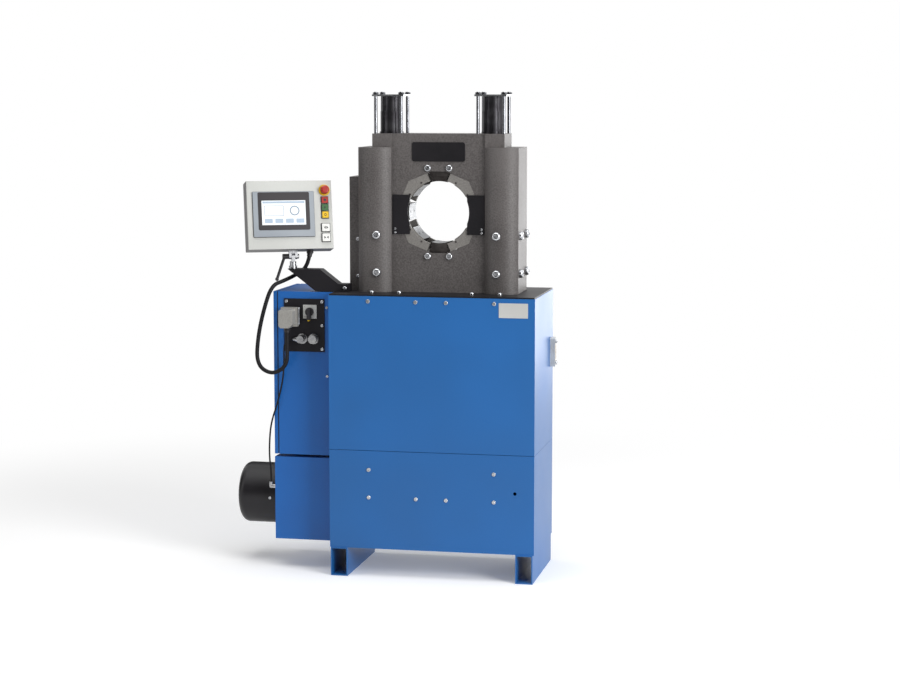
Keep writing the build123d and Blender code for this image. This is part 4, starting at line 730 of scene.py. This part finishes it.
world = bpy.data.worlds.new("studio")
bpy.context.scene.world = world
world.use_nodes = True
world.node_tree.nodes.clear()
AMBIENT = 0.28
WHITE = (1, 1, 1, 1)
ambient = add(world.node_tree, "ShaderNodeBackground", {"Color": WHITE, "Strength": AMBIENT})
backdrop = add(world.node_tree, "ShaderNodeBackground", {"Color": WHITE, "Strength": 1.0})
mixed = add(world.node_tree, "ShaderNodeMixShader",
            {0: surround_factor(world.node_tree), 1: ambient.outputs[0], 2: backdrop.outputs[0]})
add(world.node_tree, "ShaderNodeOutputWorld", {"Surface": mixed.outputs[0]})

# Round the machine the floor is a plain pale one that takes its shadow. Further out it fades,
# by distance from the middle of the floor, to the white of the surround.
SHADOW_RADIUS, WHITE_RADIUS = 1.3, 3.4
floor_material, floor_tree, floor_output = blank_material("pale_studio_floor")
floor_place = add(floor_tree, "ShaderNodeTexCoord").outputs["Object"]
distance = add(floor_tree, "ShaderNodeVectorMath", {0: floor_place},
               operation="LENGTH").outputs["Value"]
fade = add(floor_tree, "ShaderNodeMapRange",
           {"Value": distance, "From Min": SHADOW_RADIUS, "From Max": WHITE_RADIUS},
           interpolation_type="SMOOTHSTEP").outputs[0]
floor_diffuse = add(floor_tree, "ShaderNodeBsdfDiffuse", {"Color": (0.6, 0.6, 0.6, 1)})
floor_pale = add(floor_tree, "ShaderNodeBsdfDiffuse", {"Color": (0.97, 0.97, 0.97, 1)})
floor_lift = add(floor_tree, "ShaderNodeEmission", {"Color": WHITE, "Strength": 0.15})
floor_white = add(floor_tree, "ShaderNodeEmission", {"Color": WHITE, "Strength": 1.0})
floor_near = add(floor_tree, "ShaderNodeAddShader",
                 {0: floor_pale.outputs[0], 1: floor_lift.outputs[0]})
floor_seen = add(floor_tree, "ShaderNodeMixShader",
                 {0: fade, 1: floor_near.outputs[0], 2: floor_white.outputs[0]})
floor_mix = add(floor_tree, "ShaderNodeMixShader",
                {0: surround_factor(floor_tree), 1: floor_diffuse.outputs[0],
                 2: floor_seen.outputs[0]})
floor_tree.links.new(floor_mix.outputs[0], floor_output.inputs["Surface"])
FLOOR_HALF = 14.0
floor_mesh = bpy.data.meshes.new("studio_floor")
floor_bm = bmesh.new()
bmesh.ops.create_grid(floor_bm, x_segments=2, y_segments=2, size=FLOOR_HALF)
floor_bm.to_mesh(floor_mesh)
floor_bm.free()
floor_mesh.materials.append(floor_material)
floor = new_object("studio_floor", floor_mesh)
print("floor", 2 * FLOOR_HALF, "m wide, white beyond", WHITE_RADIUS, "m")

# %% Lamps
def facing(place, target):
    """The rotation that turns a lamp or a card at place towards its target."""
    return (Vector(target) - Vector(place)).to_track_quat("-Z", "Y").to_euler()


def softbox(name, place, target, width, height, power):
    """A rectangular area light that faces its target."""
    data = bpy.data.lights.new(name, "AREA")
    data.shape = "RECTANGLE"
    data.size = width
    data.size_y = height
    data.energy = power
    made = new_object(name, data)
    made.location = place
    made.rotation_euler = facing(place, target)
    made.visible_camera = False


CENTRE = (-0.1, 0.0, 0.9)
softbox("left_softbox", (-4.2, -3.4, 2.4), CENTRE, 2.0, 2.6, 25.0)
softbox("right_softbox", (4.2, -3.0, 2.2), CENTRE, 2.2, 2.6, 215.0)
softbox("top_softbox", (0.0, -0.6, 4.4), (0.0, 0.0, 0.0), 3.4, 3.4, 110.0)
softbox("rim_softbox", (2.6, 5.0, 0.9), (0.3, 0.0, 0.4), 3.8, 3.4, 118.0)
print(len(bpy.data.lights), "lamps")

# %% [markdown]
# In a room that is white all round, polished metal has nothing to draw its shape with.
# Studios hang black cards, called flags, just out of the frame, and the metal shows
# them as dark bands. These do the same: only glossy rays meet them, so they take no light away.

# %% Flags
flag_material, flag_tree, flag_output = blank_material("black_felt_flag")
flag_felt = add(flag_tree, "ShaderNodeBsdfDiffuse", {"Color": (0.012, 0.012, 0.013, 1)})
flag_tree.links.new(flag_felt.outputs[0], flag_output.inputs["Surface"])


def flag(name, place, target, width, height):
    """A dark card that faces its target and shows only in reflections."""
    mesh = bpy.data.meshes.new(name)
    card = bmesh.new()
    bmesh.ops.create_grid(card, x_segments=1, y_segments=1, size=0.5)
    card.to_mesh(mesh)
    card.free()
    mesh.materials.append(flag_material)
    made = new_object(name, mesh)
    made.location = place
    made.scale = (width, height, 1.0)
    made.rotation_euler = facing(place, target)
    made.visible_camera = False
    made.visible_diffuse = False
    made.visible_transmission = False
    made.visible_shadow = False


FLAG_DISTANCE = 8.5
FLAG_HEIGHT = 6.5
FLAG_TARGET = (0.0, 0.0, 1.2)
# Each flag has a bearing in degrees and a width in metres.
FLAGS = {"front": (-104.0, 13.0), "left": (178.0, 6.0), "right": (-16.0, 2.2),
         "back": (118.0, 3.0)}
for flag_name, (bearing, width) in FLAGS.items():
    angle = math.radians(bearing)
    spot = (FLAG_DISTANCE * math.cos(angle), FLAG_DISTANCE * math.sin(angle), FLAG_HEIGHT / 2)
    flag(flag_name + "_flag", spot, FLAG_TARGET, width, FLAG_HEIGHT)
print(len(FLAGS), "flags hung")

# %% Camera
camera_data = bpy.data.cameras.new("camera")
camera_data.sensor_width = 36.0
camera_data.lens = 84.09
camera = new_object("camera", camera_data)
camera.location = (1.5125, -7.1531, 1.6768)
camera.rotation_euler = (math.radians(83.319), 0.0, math.radians(11.734))
bpy.context.scene.camera = camera
bpy.context.scene.view_settings.view_transform = "Standard"
print("camera lens", camera_data.lens, "mm")
